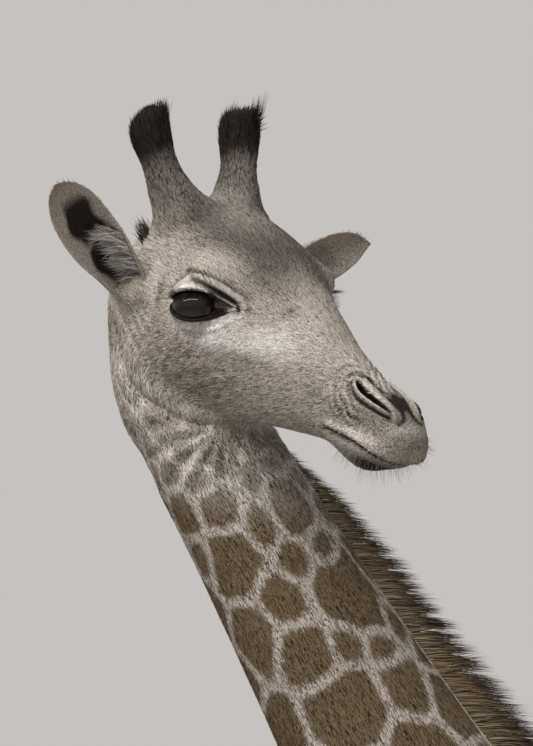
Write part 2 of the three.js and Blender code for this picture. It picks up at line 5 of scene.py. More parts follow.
import bpy
import numpy as np
import openvdb  # Blender's own library of distance fields
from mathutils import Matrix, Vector


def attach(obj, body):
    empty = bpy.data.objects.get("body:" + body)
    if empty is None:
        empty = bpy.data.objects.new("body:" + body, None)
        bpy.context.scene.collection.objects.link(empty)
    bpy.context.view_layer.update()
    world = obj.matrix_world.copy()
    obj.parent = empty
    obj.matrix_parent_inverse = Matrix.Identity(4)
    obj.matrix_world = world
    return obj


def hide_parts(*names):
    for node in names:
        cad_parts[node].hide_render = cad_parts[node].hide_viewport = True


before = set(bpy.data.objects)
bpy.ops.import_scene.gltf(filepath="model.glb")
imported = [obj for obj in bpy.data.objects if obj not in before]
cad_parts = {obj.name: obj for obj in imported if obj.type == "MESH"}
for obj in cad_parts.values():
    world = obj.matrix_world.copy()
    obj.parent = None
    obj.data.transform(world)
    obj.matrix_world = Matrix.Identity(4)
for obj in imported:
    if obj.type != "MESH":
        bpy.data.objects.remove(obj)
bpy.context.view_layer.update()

# ---------------------------------------------------------------- the studio
# A pale floor that runs out far past the animal, a pale sky of even light, two large soft lamps and a strip
# lamp that draws a thin line of light in the eye.
# The long lens stands level with the middle of the neck and looks slightly up at the head.
EYE_MIDDLE = np.array([0.112, -1.042, 3.900])  # the point midway between the eyes
PICTURE = (533, 746)  # the picture's width and height
LENS_IN_PICTURES = 6597  # the lens, counted in picture dots
STANDING_BACK = 9.0
LOOKING_UP = math.radians(6)
AIM_RIGHT, AIM_DOWN = 0.006, 0.0955  # the middle of the view, from between the eyes

view_right = Vector((0, 1, 0))
view_up = Vector((math.sin(LOOKING_UP), 0, math.cos(LOOKING_UP)))
view_back = Vector((math.cos(LOOKING_UP), 0, -math.sin(LOOKING_UP)))
aim = Vector(EYE_MIDDLE) + view_right * AIM_RIGHT - view_up * AIM_DOWN
lens = bpy.data.cameras.new("camera")
lens.sensor_width = 36
lens.lens = LENS_IN_PICTURES * lens.sensor_width / max(PICTURE)
lens.clip_end = 400
camera = bpy.data.objects.new("camera", lens)
camera.location = aim + view_back * STANDING_BACK
camera.rotation_euler = view_back.to_track_quat("Z", "Y").to_euler()
bpy.context.collection.objects.link(camera)
bpy.context.scene.camera = camera
bpy.context.scene.view_settings.view_transform = "Standard"


def new_material(name):
    """A material, its node tree, which holds only an output and a Principled shader, and that shader."""
    material = bpy.data.materials.new(name)
    material.use_nodes = True
    tree = material.node_tree
    return material, tree, tree.nodes["Principled BSDF"]


def set_inputs(tree, node, **inputs):
    """Each input is given a number, a colour or another node's output. Its name is written with _ for a
    space, or as in_0, in_1 for its place in the list."""
    for key, value in inputs.items():
        place = int(key[3:]) if key.startswith("in_") else key.replace("_", " ")
        if isinstance(value, bpy.types.NodeSocket):
            tree.links.new(value, node.inputs[place])
        else:
            node.inputs[place].default_value = value


def add_node(tree, kind, settings=None, **inputs):
    """One new node: settings are its own properties, inputs go to its sockets."""
    made = tree.nodes.new(kind)
    for key, value in (settings or {}).items():
        setattr(made, key, value)
    set_inputs(tree, made, **inputs)
    return made


def srgb(*channels):
    """A colour given as 0 to 255 screen values, as the linear numbers that a shader wants: c/255 to the
    power 2.4 past its short straight foot."""
    c = np.array(channels) / 255
    return (*np.where(c < 0.04045, c / 12.92, ((c + 0.055) / 1.055) ** 2.4), 1.0)


def grid_mesh(name, points, faces, smooth=True):
    """A mesh object from an (n, 3) array of points and an (m, 3 or 4) array of corner numbers."""
    mesh = bpy.data.meshes.new(name)
    sides = faces.shape[1]
    mesh.vertices.add(len(points))
    mesh.vertices.foreach_set("co", np.ascontiguousarray(points, np.float32).ravel())
    mesh.loops.add(faces.size)
    mesh.loops.foreach_set("vertex_index", np.ascontiguousarray(faces, np.int32).ravel())
    mesh.polygons.add(len(faces))
    mesh.polygons.foreach_set("loop_start", np.arange(0, faces.size, sides, dtype=np.int32))
    mesh.polygons.foreach_set("use_smooth", np.full(len(faces), smooth))
    mesh.update(calc_edges=True)
    piece = bpy.data.objects.new(name, mesh)
    bpy.context.collection.objects.link(piece)
    return piece


FLOOR_REACH = 90
floor_rim = np.array([[-1, -1, 0], [1, -1, 0], [1, 1, 0], [-1, 1, 0]]) * FLOOR_REACH
floor = grid_mesh("floor", floor_rim, np.array([[0, 1, 2, 3]]), smooth=False)
floor_paint, tree, shader = new_material("pale floor")
set_inputs(tree, shader, Base_Color=srgb(206, 203, 200), Roughness=0.9)
floor.data.materials.append(floor_paint)

SKY_LIGHT = 0.78  # the sky lights less than it shows, so that forms have shade
world = bpy.data.worlds.new("pale sky")
world.use_nodes = True
tree = world.node_tree
straight = add_node(tree, "ShaderNodeLightPath").outputs["Is Camera Ray"]
sky_power = add_node(tree, "ShaderNodeMapRange", Value=straight, To_Min=SKY_LIGHT)
set_inputs(tree, tree.nodes["Background"], Color=srgb(198, 194, 191), Strength=sky_power.outputs[0])
bpy.context.scene.world = world


def soft_lamp(name, place, aim_at, size, watts, deep=None):
    """An area lamp at a place, turned towards a point: a square that no gloss mirrors, or, given its other
    side too, a strip that gloss mirrors."""
    light = bpy.data.lights.new(name, "AREA")
    light.size = size
    light.energy = watts
    lamp = bpy.data.objects.new(name, light)
    lamp.visible_glossy = deep is not None
    if deep is not None:
        light.shape = "RECTANGLE"
        light.size_y = deep
    lamp.location = place
    lamp.rotation_euler = (Vector(place) - Vector(aim_at)).to_track_quat("Z", "Y").to_euler()
    bpy.context.collection.objects.link(lamp)


soft_lamp("key lamp", (3.6, -3.4, 6.4), EYE_MIDDLE, 3.2, 175)
soft_lamp("top lamp", (0.6, -2.2, 7.2), EYE_MIDDLE, 3.4, 120)
soft_lamp("catch light", (3.1, -1.9, 5.95), EYE_MIDDLE, 4.8, 36, deep=0.15)

# ---------------------------------------------------------------- the skin
# One whole hide over trunk, neck, head, horns, ears, legs and tail. It is thin and short-haired, loose at
# the throat and folded round the ears. Every part is a loft of rings of flesh over a line of bones, made
# smaller by the depth of the coat; the lofts are then melted into one another and given one surface.
COAT_DEPTH = 0.004
FACE_COAT = 0.0025
SHIFT = np.array([-0.026, 0.341, 0.0])  # from the bones' own measures to the frame's


def smooth_curve(places, values):
    """A curve through the pairs: cubic Hermite pieces, each tangent the harmonic mean of the two slopes
    beside it, or 0 where their signs differ, so that the curve never overshoots."""
    places, values = np.asarray(places, float), np.asarray(values, float)
    width = np.diff(places)
    slope = np.diff(values) / width
    same = slope[:-1] * slope[1:] > 0
    total = np.where(same, slope[:-1] + slope[1:], 1)
    tangent = np.concatenate([slope[:1], np.where(same, 2 * slope[:-1] * slope[1:] / total, 0), slope[-1:]])

    def curve(x):
        x = np.clip(x, places[0], places[-1])
        i = np.clip(np.searchsorted(places, x, "right") - 1, 0, len(width) - 1)
        t = (x - places[i]) / width[i]
        keep, arrive = (1 + 2 * t) * (1 - t) ** 2, t * t * (3 - 2 * t)
        bend = width[i] * (tangent[i] * t * (1 - t) ** 2 + tangent[i + 1] * t * t * (t - 1))
        return values[i] * keep + values[i + 1] * arrive + bend

    return curve


class Table:
    """Columns of numbers as smooth curves of the first column: Table("at half", rows).half(0.2)."""

    def __init__(self, columns, rows):
        rows = np.array(rows, float)
        self.first, self.last = rows[0, 0], rows[-1, 0]
        for name, column in zip(columns.split()[1:], rows.T[1:]):
            setattr(self, name, smooth_curve(rows[:, 0], column))


def outline(angle, half, up, down, above=2.0, below=2.0):
    """An egg-shaped section: side = half*sin and rise = up or down*cos, each to the power 2/boxiness with
    its sign kept, so that 2 gives an ellipse and more gives squarer shoulders. Angle 0 is the top."""
    s, c = np.sin(angle), np.cos(angle)
    power = 2 / np.where(c >= 0, above, below)
    side = half * np.sign(s) * np.abs(s) ** power
    return side, np.where(c >= 0, up, down) * np.sign(c) * np.abs(c) ** power


def unit(v):
    """Vectors scaled to length 1."""
    return v / np.maximum(np.linalg.norm(v, axis=-1, keepdims=True), 1e-9)


def ring_walls(a):
    """Triangles, two to each square, between neighbouring rings of point numbers (rings, sides)."""
    b = np.roll(a, -1, 1)
    walls = np.concatenate([np.stack([a[:-1], b[:-1], b[1:]], -1), np.stack([a[:-1], b[1:], a[1:]], -1)])
    return walls.reshape(-1, 3)


def hub_fan(hub, ring):
    """Triangles from one point number to each side of a ring of them."""
    return np.stack([np.full(len(ring), hub), np.roll(ring, -1), ring], -1)


def closed_loft(rings):
    """The surface over a stack of rings, (rings, sides, 3): walls between neighbouring rings, and a fan to
    the middle of each end ring."""
    m, k = rings.shape[:2]
    a = np.arange(m * k).reshape(m, k)
    points = np.concatenate([rings.reshape(-1, 3), rings[[0, -1]].mean(1)])
    last_fan = hub_fan(m * k + 1, a[-1])[:, [0, 2, 1]]
    return points, np.concatenate([ring_walls(a), hub_fan(m * k, a[0]), last_fan])


def facing_out(points, faces):
    """The triangles of a closed body, turned over if they enclose less than nothing."""
    a, b, c = (points[faces[:, k]] - points.mean(0) for k in range(3))
    volume = np.einsum("ij,ij->", a, np.cross(b, c).astype(float))
    return faces if volume > 0 else faces[:, ::-1]


ROUND = 2 * np.pi
SPINE_ROWS = np.array([  # back y z, belly y z, half width, widest level, boxiness above and below, twist
    [0.850, 2.115, 0.892, 1.985, 0.066, 0.50, 2.0, 2.0, 0],  # rump end
    [0.812, 2.188, 0.868, 1.870, 0.150, 0.50, 2.0, 2.0, 0],  # pin bones
    [0.670, 2.310, 0.770, 1.745, 0.222, 0.52, 1.9, 2.0, 0],  # croup
    [0.500, 2.392, 0.570, 1.712, 0.252, 0.52, 1.9, 2.1, 0],  # hips
    [0.280, 2.462, 0.300, 1.695, 0.268, 0.47, 1.8, 2.2, 0],  # loin
    [0.020, 2.542, 0.020, 1.648, 0.292, 0.45, 1.7, 2.2, 0],  # ribs
    [-0.220, 2.628, -0.260, 1.618, 0.282, 0.44, 1.6, 2.1, 0],  # girth
    [-0.420, 2.702, -0.520, 1.640, 0.256, 0.44, 1.6, 2.0, 0],  # withers
    [-0.530, 2.772, -0.728, 1.800, 0.226, 0.45, 1.7, 1.9, 0],  # shoulder
    [-0.660, 2.882, -0.842, 2.120, 0.186, 0.46, 1.8, 1.9, 0],  # neck root
    [-0.800, 3.016, -0.980, 2.470, 0.150, 0.47, 1.9, 2.0, 0],  # low neck
    [-0.930, 3.154, -1.125, 2.790, 0.126, 0.48, 2.0, 2.0, 0],  # mid neck
    [-1.064, 3.307, -1.304, 3.168, 0.108, 0.50, 2.0, 2.0, 5],  # upper third
    [-1.197, 3.500, -1.405, 3.380, 0.098, 0.50, 2.0, 2.0, 27],  # high neck
    [-1.295, 3.654, -1.485, 3.544, 0.094, 0.50, 2.0, 2.0, 47],  # below throat
    [-1.364, 3.773, -1.552, 3.677, 0.092, 0.50, 2.0, 2.0, 70],  # throat
    [-1.384, 3.821, -1.574, 3.753, 0.107, 0.50, 2.0, 2.1, 88],  # atlas wing
    [-1.406, 3.867, -1.594, 3.827, 0.099, 0.50, 2.0, 2.1, 108],  # atlas
    [-1.432, 3.927, -1.592, 3.913, 0.090, 0.50, 2.0, 2.0, 128],  # skull base
    [-1.440, 3.977, -1.548, 3.997, 0.060, 0.50, 2.0, 2.0, 132],  # nape
])
NAPE_SWAY = 0.037
row_steps = np.linalg.norm(np.diff(SPINE_ROWS[:, :4].reshape(-1, 2, 2), axis=0), axis=2).mean(1)
row_places = np.concatenate([[0], np.cumsum(row_steps)])
WITHERS, SHOULDER = row_places[7:9]
UPPER_THIRD, ATLAS, SKULL_BASE = row_places[[12, 17, 18]]
spine = Table("at back_y back_z belly_y belly_z half level above below turn",
              np.column_stack([row_places, SPINE_ROWS]))


def spine_frame(at):
    """At distances along the spine: the section's middle, its depth above and below it, and its unit ways
    to the crest, to the left and towards the head. The section is turned by the twist about the way ahead."""
    zero = 0 * at
    back = np.stack([zero, spine.back_y(at), spine.back_z(at)], -1)
    belly = np.stack([zero, spine.belly_y(at), spine.belly_z(at)], -1)
    depth = np.linalg.norm(back - belly, axis=-1)
    up = unit(back - belly)
    across = np.broadcast_to([1.0, 0, 0], up.shape)
    turn = np.radians(spine.turn(at))[..., None]
    sway = np.clip((at - ATLAS) / (spine.last - ATLAS), 0, 1)
    level = spine.level(at)
    middle = belly + (back - belly) * level[..., None] + SHIFT
    middle[..., 0] += NAPE_SWAY * sway * sway
    crest = up * np.cos(turn) - across * np.sin(turn)
    left = across * np.cos(turn) + up * np.sin(turn)
    return middle, depth * (1 - level), depth * level, crest, left, np.cross(across, up)


def spine_rings(at, sides, grow):
    """Sections of the trunk and neck at distances along the spine, as (distance, side, 3)."""
    middle, above, below, crest, left, _ = spine_frame(at)
    angle = np.arange(sides) * ROUND / sides
    side, rise = outline(angle, *(v[:, None] for v in (spine.half(at) + grow, above + grow, below + grow,
                                                       spine.above(at), spine.below(at))))
    return middle[:, None] + left[:, None] * side[..., None] + crest[:, None] * rise[..., None]


# The head: its turn to the left of straight ahead, nod and tilt, and its sections from nape to lips.
HEAD_TURN, HEAD_NOD, HEAD_TILT = (math.radians(a) for a in (136.4, 20.2, -4.2))


def axis_turn(angle, a, b):
    """The turn by an angle that carries axis a towards axis b, as a matrix."""
    made = np.eye(3)
    made[[a, b], [a, b]] = math.cos(angle)
    made[b, a], made[a, b] = math.sin(angle), -math.sin(angle)
    return made


head_axes = axis_turn(HEAD_TURN, 0, 1) @ axis_turn(HEAD_NOD, 1, 2) @ axis_turn(HEAD_TILT, 2, 0)
head_axes = head_axes[:, [1, 0, 2]] * [-1, 1, 1]  # columns: ahead, left, up


def on_head(place):
    """From the head's own measures (ahead of the eyes, left, up) to the frame's."""
    return EYE_MIDDLE + np.asarray(place, float) @ head_axes.T


def head_measures(points):
    """From the frame's measures to the head's own (ahead of the eyes, left, up)."""
    return (points - EYE_MIDDLE) @ head_axes


head_table = Table("at top bottom half level above below", [
    [-0.232, 0.012, -0.062, 0.042, -0.024, 2, 2],  # back
    [-0.205, 0.058, -0.108, 0.072, -0.024, 2, 2],  # nape
    [-0.150, 0.106, -0.160, 0.092, -0.016, 2.2, 2.1],  # poll
    [-0.085, 0.112, -0.180, 0.103, -0.008, 2.5, 2],  # crown
    [0.000, 0.088, -0.176, 0.110, -0.002, 2.6, 1.8],  # eye
    [0.060, 0.060, -0.165, 0.086, -0.022, 2.2, 1.8],  # cheek
    [0.120, 0.030, -0.153, 0.064, -0.048, 2, 1.9],  # bridge
    [0.180, -0.008, -0.146, 0.053, -0.072, 2, 2],  # nose
    [0.225, -0.030, -0.154, 0.050, -0.084, 2, 2.2],  # mouth corner
    [0.265, -0.046, -0.157, 0.051, -0.090, 2.1, 2.1],  # nostril
    [0.296, -0.060, -0.150, 0.049, -0.098, 2.1, 2.2],  # nose tip
    [0.320, -0.080, -0.139, 0.038, -0.108, 2, 2.2],  # lip
    [0.334, -0.100, -0.126, 0.016, -0.113, 2, 2],  # lip front
])
FORMS = [  # place (ahead, side, up), reach (ahead, side, up), push outwards
    [-0.006, 0.100, 0.034, 0.040, 0.044, 0.017, 0.023],  # brow
    [-0.004, 0.112, -0.002, 0.030, 0.034, 0.017, -0.008],  # eye socket
    [-0.072, 0.092, 0.030, 0.026, 0.040, 0.026, -0.009],  # temple hollow
    [-0.072, 0.082, -0.098, 0.062, 0.060, 0.050, 0.011],  # chewing muscle
    [0.045, 0.084, -0.048, 0.070, 0.040, 0.015, 0.008],  # cheekbone
    [0.078, 0.060, -0.012, 0.042, 0.034, 0.020, -0.006],  # hollow before the eye
    [-0.112, 0.066, -0.160, 0.034, 0.044, 0.026, 0.008],  # jaw angle
    [0.288, 0.046, -0.060, 0.034, 0.026, 0.018, 0.009],  # nostril rim
    [0.300, 0.048, -0.122, 0.042, 0.036, 0.020, 0.007],  # upper lip
    [0.248, 0.008, -0.162, 0.030, 0.036, 0.020, 0.009],  # chin
    [0.040, 0.000, -0.170, 0.110, 0.022, 0.026, -0.009],  # hollow under the jaw
    [-0.142, 0.052, 0.104, 0.040, 0.034, 0.040, 0.012],  # horn root
]


def head_rings(rings, sides, grow):
    """Sections of the head. A point of the outline moves out along its own ray by the sum of the forms,
    each its push times a bell exp(-x*x) of the distance over the reach, ahead, sideways and up."""
    t = np.linspace(0, 1, rings)
    t = t - 0.03 * np.sin(ROUND * t)
    at = (head_table.first - grow + (head_table.last - head_table.first + 2 * grow) * t)[:, None]
    level = head_table.level(at)
    angle = np.arange(sides) * ROUND / sides
    side, rise = outline(angle, head_table.half(at) + grow, head_table.top(at) - level + grow,
                         level - head_table.bottom(at) + grow, head_table.above(at), head_table.below(at))
    push = 0
    for ahead, out, high, *reach, most in FORMS:
        off = ((at - ahead) / reach[0]) ** 2 + ((abs(side) - out) / reach[1]) ** 2
        push = push + most * np.exp(-off - ((level + rise - high) / reach[2]) ** 2)
    length = np.hypot(side, rise)
    side, rise = side * (1 + push / length), rise * (1 + push / length)
    return on_head(np.stack([at + 0 * side, side, level + rise], -1))


def path_axes(start, end, facing):
    """A straight line's unit ways: along it, across it, and out of its face."""
    along = unit(end - start)
    across = unit(np.cross(facing, along))
    return along, across, np.cross(along, across)


SIDES = {"right": -1, "left": 1}

# The ossicones: bone horns in furry skin, flared at the root, slim at the waist.
horn_table = Table("at wide deep", [[0, 0.044, 0.052], [0.22, 0.033, 0.040], [0.5, 0.025, 0.029],
                                    [0.78, 0.031, 0.032], [0.93, 0.029, 0.030], [1, 0.019, 0.020]])
HORN_DEPTH = 0.004


def horn_line(side):
    """One horn's root, tip, axes and bow: it bends forwards and inwards by bow*(t - t*t)."""
    root, tip = on_head([-0.128, side * 0.044, 0.082]), on_head([-0.203, side * 0.089, 0.221])
    bow = head_axes @ [-0.036, side * 0.042, 0]
    return root, tip, bow, path_axes(root, tip, head_axes[:, 0])


def up_horn(side, points):
    """How far up a horn points lie: 0 at its root, 1 at its tip."""
    root, tip, _, (along, _, _) = horn_line(side)
    return (points - root) @ along / np.linalg.norm(tip - root)


def horn_rings(side, rings=24, sides=36):
    """Oval sections wide*sin, deep*cos along the bowed line of a horn, its top rounded like a thumb."""
    root, tip, bow, (_, across, face) = horn_line(side)
    t = np.linspace(0, 1, rings)[:, None, None]
    angle = (np.arange(sides) * ROUND / sides)[None, :, None]
    dome = np.sqrt(np.clip(1 - np.clip((t - 0.86) / 0.14, 0, 1) ** 2, 0.02, 1))
    middle = root + (tip - root) * t * 0.975 + bow * (t - t * t)
    wide, deep = ((f(t) - HORN_DEPTH) * dome for f in (horn_table.wide, horn_table.deep))
    return middle + across * wide * np.sin(angle) + face * deep * np.cos(angle)


# The ears: leaves of gristle and skin rolled round their own length, nearly shut at the root.
EAR_REACH = 0.260
ear_table = Table("at leaf roll shift thick", [
    [0, 0.052, 150, 0, 0.009], [0.3, 0.059, 120, 0.004, 0.006], [0.52, 0.057, 84, 0.006, 0.0055],
    [0.75, 0.046, 60, 0.004, 0.005], [0.92, 0.026, 46, 0, 0.0045], [1, 0.009, 36, 0, 0.004]])
EARS = {  # root on the head, the way to the tip, the way that the hollow faces
    "right": ([-0.150, -0.066, -0.050], [-0.04, -0.774, 0.632], [0.92, -0.25, -0.28]),
    "left": ([-0.146, 0.073, -0.046], [0.15, 0.904, 0.40], [0.99, -0.09, -0.07]),
}


def ear_line(name):
    """One ear's root, its tip, and its ways along, across and out of the hollow."""
    root, points, opens = EARS[name]
    root = on_head(root)
    tip = root + unit(head_axes @ points) * EAR_REACH
    return root, tip, path_axes(root, tip, head_axes @ opens)


def ear_sheet(name, t, s, depth):
    """Points of an ear: t from 0 at the root to 1 at the tip, s from -1 to 1 across the leaf, depth out
    from the middle of its gristle. The leaf is an arc of half angle roll and radius leaf/roll."""
    root, tip, (_, across, face) = ear_line(name)
    roll = np.radians(ear_table.roll(t))
    radius = ear_table.leaf(t) / roll
    middle = root + (tip - root) * t[..., None] + face * ear_table.shift(t)[..., None]
    angle = roll * s
    out = radius + depth
    return (middle + across * (out * np.sin(angle))[..., None]
            + face * (radius * np.cos(roll) * 0.5 - out * np.cos(angle))[..., None])


def ear_measures(name, points):
    """The other way round: how far along an ear and across its leaf points are, and which are inside."""
    root, _, (along, across, face) = ear_line(name)
    off = points - root
    t = np.clip(off @ along / EAR_REACH, 0, 1)
    roll = np.radians(ear_table.roll(t))
    radius = ear_table.leaf(t) / roll
    x, y = off @ across, radius * np.cos(roll) * 0.5 - (off @ face - ear_table.shift(t))
    return t, np.arctan2(x, y) / roll, np.hypot(x, y) < radius


def ear_surface(name, rings=46, half=13):
    """The closed leaf of an ear: each section runs out along the leaf's back and home along its inside."""
    t = np.linspace(0.06, 1, rings)[:, None]
    s = np.linspace(-1, 1, 2 * half + 1)[None]
    rim = np.sqrt(np.clip(1 - 0.92 * s**8, 0, 1))  # the leaf thins to a rounded rim
    thick = (ear_table.thick(t) / 2 - 0.0005) * rim
    s = s * np.sqrt(1 - 0.97 * np.clip((t - 0.9) / 0.1, 0, 1) ** 2)
    s = np.where(s < 0, s * (1 - 0.20 * bell((t - 0.58) / 0.24)), s)  # drawn in beside the head
    back, inside = (ear_sheet(name, t + 0 * s, s + 0 * t, depth) for depth in (thick, -thick))
    return closed_loft(np.concatenate([back, inside[:, ::-1]], 1))


def ear_stalk(name, rings=12, sides=28):
    """The shut root of an ear as a round stump that runs into the skull."""
    t = np.linspace(-0.16, 0.17, rings)[:, None]
    s = np.linspace(-1, 1, sides, endpoint=False)[None]
    points = ear_sheet(name, np.clip(t, 0, 1) + 0 * s, s * 180 / 150 + 0 * t, 0.003)
    root, tip, _ = ear_line(name)
    return closed_loft(points + (tip - root) * np.minimum(t, 0)[..., None])


# The legs: sections (height, outwards, along, half width, half depth), the feet set a step apart.
HOOF_TOP = 0.096
leg_names = "z out y wide deep"
FORE = Table(leg_names, [
    [0.096, 0, -0.062, 0.060, 0.074], [0.168, 0, -0.034, 0.045, 0.052], [0.245, 0, -0.006, 0.052, 0.062],
    [0.330, 0, 0, 0.038, 0.047], [0.560, 0, 0, 0.034, 0.042], [0.810, 0, 0, 0.042, 0.049],
    [0.925, 0.002, -0.006, 0.060, 0.063], [1.060, 0.003, -0.002, 0.050, 0.056],
    [1.400, 0.006, 0.006, 0.064, 0.084], [1.670, 0.006, 0.024, 0.084, 0.132],
    [1.880, 0.014, 0, 0.092, 0.166], [2.120, 0, -0.030, 0.060, 0.110]])
HIND = Table(leg_names, [
    [0.096, 0, -0.060, 0.056, 0.072], [0.168, 0, -0.032, 0.043, 0.050], [0.245, 0, -0.004, 0.050, 0.060],
    [0.330, 0, 0.004, 0.037, 0.046], [0.600, 0, 0.012, 0.034, 0.042], [0.850, 0, 0.022, 0.040, 0.052],
    [0.985, 0, 0.030, 0.052, 0.074], [1.110, 0.002, 0.018, 0.044, 0.066],
    [1.330, 0.008, -0.060, 0.066, 0.098], [1.590, 0.014, -0.130, 0.092, 0.160],
    [1.850, 0.014, -0.090, 0.112, 0.218], [2.160, 0, -0.050, 0.050, 0.110]])
LEGS = {  # bones, side, outwards, along, how far the foot swings along
    "fore_left": (FORE, 1, 0.158, -0.455, 0.030), "fore_right": (FORE, -1, 0.158, -0.455, -0.045),
    "hind_left": (HIND, 1, 0.150, 0.690, -0.070), "hind_right": (HIND, -1, 0.150, 0.690, 0.040)}


def leg_middle(name, z):
    """The middle of a leg at a height: the foot swings along, the top stays."""
    bones, side, out, along, swing = LEGS[name]
    lower = 1 - np.clip((z - HOOF_TOP) / 1.7, 0, 1)
    return np.stack([side * (out + bones.out(z)), along + bones.y(z) + swing * lower, z], -1) + SHIFT


def leg_rings(name, z, sides):
    """Sections of a leg at heights: ovals a little boxy, the skin drawn in between bone and tendon on the
    cannon by 5 mm * sin(2*angle)**2, less at the knee, hock and fetlock."""
    bones = LEGS[name][0]
    angle = (np.arange(sides) * ROUND / sides)[None]
    z = z[:, None]
    wide, deep = bones.wide(z) - COAT_DEPTH, bones.deep(z) - COAT_DEPTH
    side, rise = outline(angle, wide, deep, deep, 2.2, 2.2)
    groove = 0.005 * np.exp(-((z - 0.62) / 0.26) ** 2) * np.sin(2 * angle) ** 2 * (np.cos(angle) > 0)
    side = side * (1 - groove / wide)
    return leg_middle(name, z[:, 0])[:, None] + np.stack([side, rise, 0 * rise], -1)


tail_table = Table("at y z radius", [
    [0, 0.780, 2.150, 0.042], [0.070, 0.850, 2.160, 0.038], [0.170, 0.926, 2.096, 0.031],
    [0.400, 0.962, 1.872, 0.020], [0.740, 0.968, 1.532, 0.014], [0.820, 0.966, 1.452, 0.024],
    [0.960, 0.962, 1.312, 0.036], [1.160, 0.956, 1.112, 0.030], [1.300, 0.952, 0.972, 0.008]])
TUFT_FROM = 0.740


def tail_line(at):
    """Middle of the tail and its ways down along it and out of its back."""
    middle = np.stack([0 * at, tail_table.y(at), tail_table.z(at)], -1) + SHIFT
    ahead = unit(np.stack([0 * at, tail_table.y(at + 0.01) - tail_table.y(at - 0.01),
                           tail_table.z(at + 0.01) - tail_table.z(at - 0.01)], -1))
    return middle, ahead, np.stack([0 * at, -ahead[..., 2], ahead[..., 1]], -1)


def tail_rings(at, sides, radius):
    """Round sections across the tail."""
    middle, _, back = tail_line(at)
    angle = (np.arange(sides) * ROUND / sides)[None, :, None]
    across = np.array([1.0, 0, 0]) * np.sin(angle) + back[:, None] * np.cos(angle)
    return middle[:, None] + across * radius[:, None, None]


class Flesh:
    """Closed lofts melted into one body on a grid of points. For each loft the grid holds the distance to
    its surface, negative inside. Two fields a, b melt over a width w as
    min(a, b) - w/4 * max(0, 1 - |a - b|/w) squared: their crease fills with a round fillet."""

    def __init__(self, voxel, low, high, lofts, reach=6):
        self.voxel, self.first = voxel, np.floor(np.array(low) / voxel).astype(int)
        shape = np.ceil((np.array(high) - low) / voxel).astype(int)
        self.place = openvdb.createLinearTransform(voxelSize=voxel)
        self.background = reach * voxel
        self.parts = {}
        for name, (points, faces) in lofts.items():
            grid = openvdb.FloatGrid.createLevelSetFromPolygons(
                points.astype(np.float32), triangles=faces.astype(np.uint32), transform=self.place,
                halfWidth=reach)
            self.parts[name] = np.empty(shape, np.float32)
            grid.copyToArray(self.parts[name], ijk=tuple(int(i) for i in self.first))
        self.field = None

    def melt(self, name, width):
        """Melts one more loft into the body."""
        b = self.parts[name]
        if self.field is None:
            self.field = b.copy()
        else:
            a = self.field
            self.field = np.minimum(a, b) - width / 4 * np.clip(1 - np.abs(a - b) / width, 0, None) ** 2

    def surface(self):
        """Points and triangles where the body's field is 0, facing out."""
        grid = openvdb.FloatGrid(self.background)
        grid.transform = self.place
        grid.copyFromArray(self.field, ijk=tuple(int(i) for i in self.first))
        points, quads = grid.convertToQuads(isovalue=0)
        quads, points = quads.astype(int), points.astype(float)
        return points, facing_out(points, np.concatenate([quads[:, [0, 1, 2]], quads[:, [0, 2, 3]]]))

    def sample(self, field, points):
        """A field read between the grid's points, each of the eight nearest weighted by nearness."""
        at = points / self.voxel - self.first
        i = np.clip(np.floor(at).astype(int), 0, np.array(field.shape) - 2)
        f = np.clip(at - i, 0, 1)
        total = 0
        for corner in np.ndindex(2, 2, 2):
            weight = np.prod(np.where(corner, f, 1 - f), -1)
            total = total + weight * field[tuple((i + corner).T)]
        return total

    def slope(self, points):
        """The unit way out of the body."""
        step = self.voxel * 0.7
        sides = np.eye(3) * step
        return unit(np.stack([self.sample(self.field, points + s) - self.sample(self.field, points - s)
                              for s in sides], -1))


def open_up(points, faces, gone):
    """Drops the triangles that touch a point of the mask, and any that leave a pinched point on the rim.
    Returns the kept triangles and the rims, each a loop of point numbers in the order of the faces."""
    gone = gone.copy()
    while True:
        kept = faces[~gone[faces].any(1)]
        edges = np.concatenate([kept[:, [0, 1]], kept[:, [1, 2]], kept[:, [2, 0]]])
        size = len(points)
        code, back = edges[:, 0] * size + edges[:, 1], edges[:, 1] * size + edges[:, 0]
        rim = edges[~np.isin(code, back)]
        pinched = np.flatnonzero(np.bincount(rim[:, 0], minlength=size) > 1)
        if not len(pinched):
            break
        gone[pinched] = True
    after = dict(zip(rim[:, 0].tolist(), rim[:, 1].tolist()))
    loops = []
    while after:
        start, to = next(iter(after.items()))
        loop = [start]
        while to != start:
            loop.append(to)
            to = after.pop(to)
        after.pop(start)
        loops.append(np.array(loop))
    return kept, loops


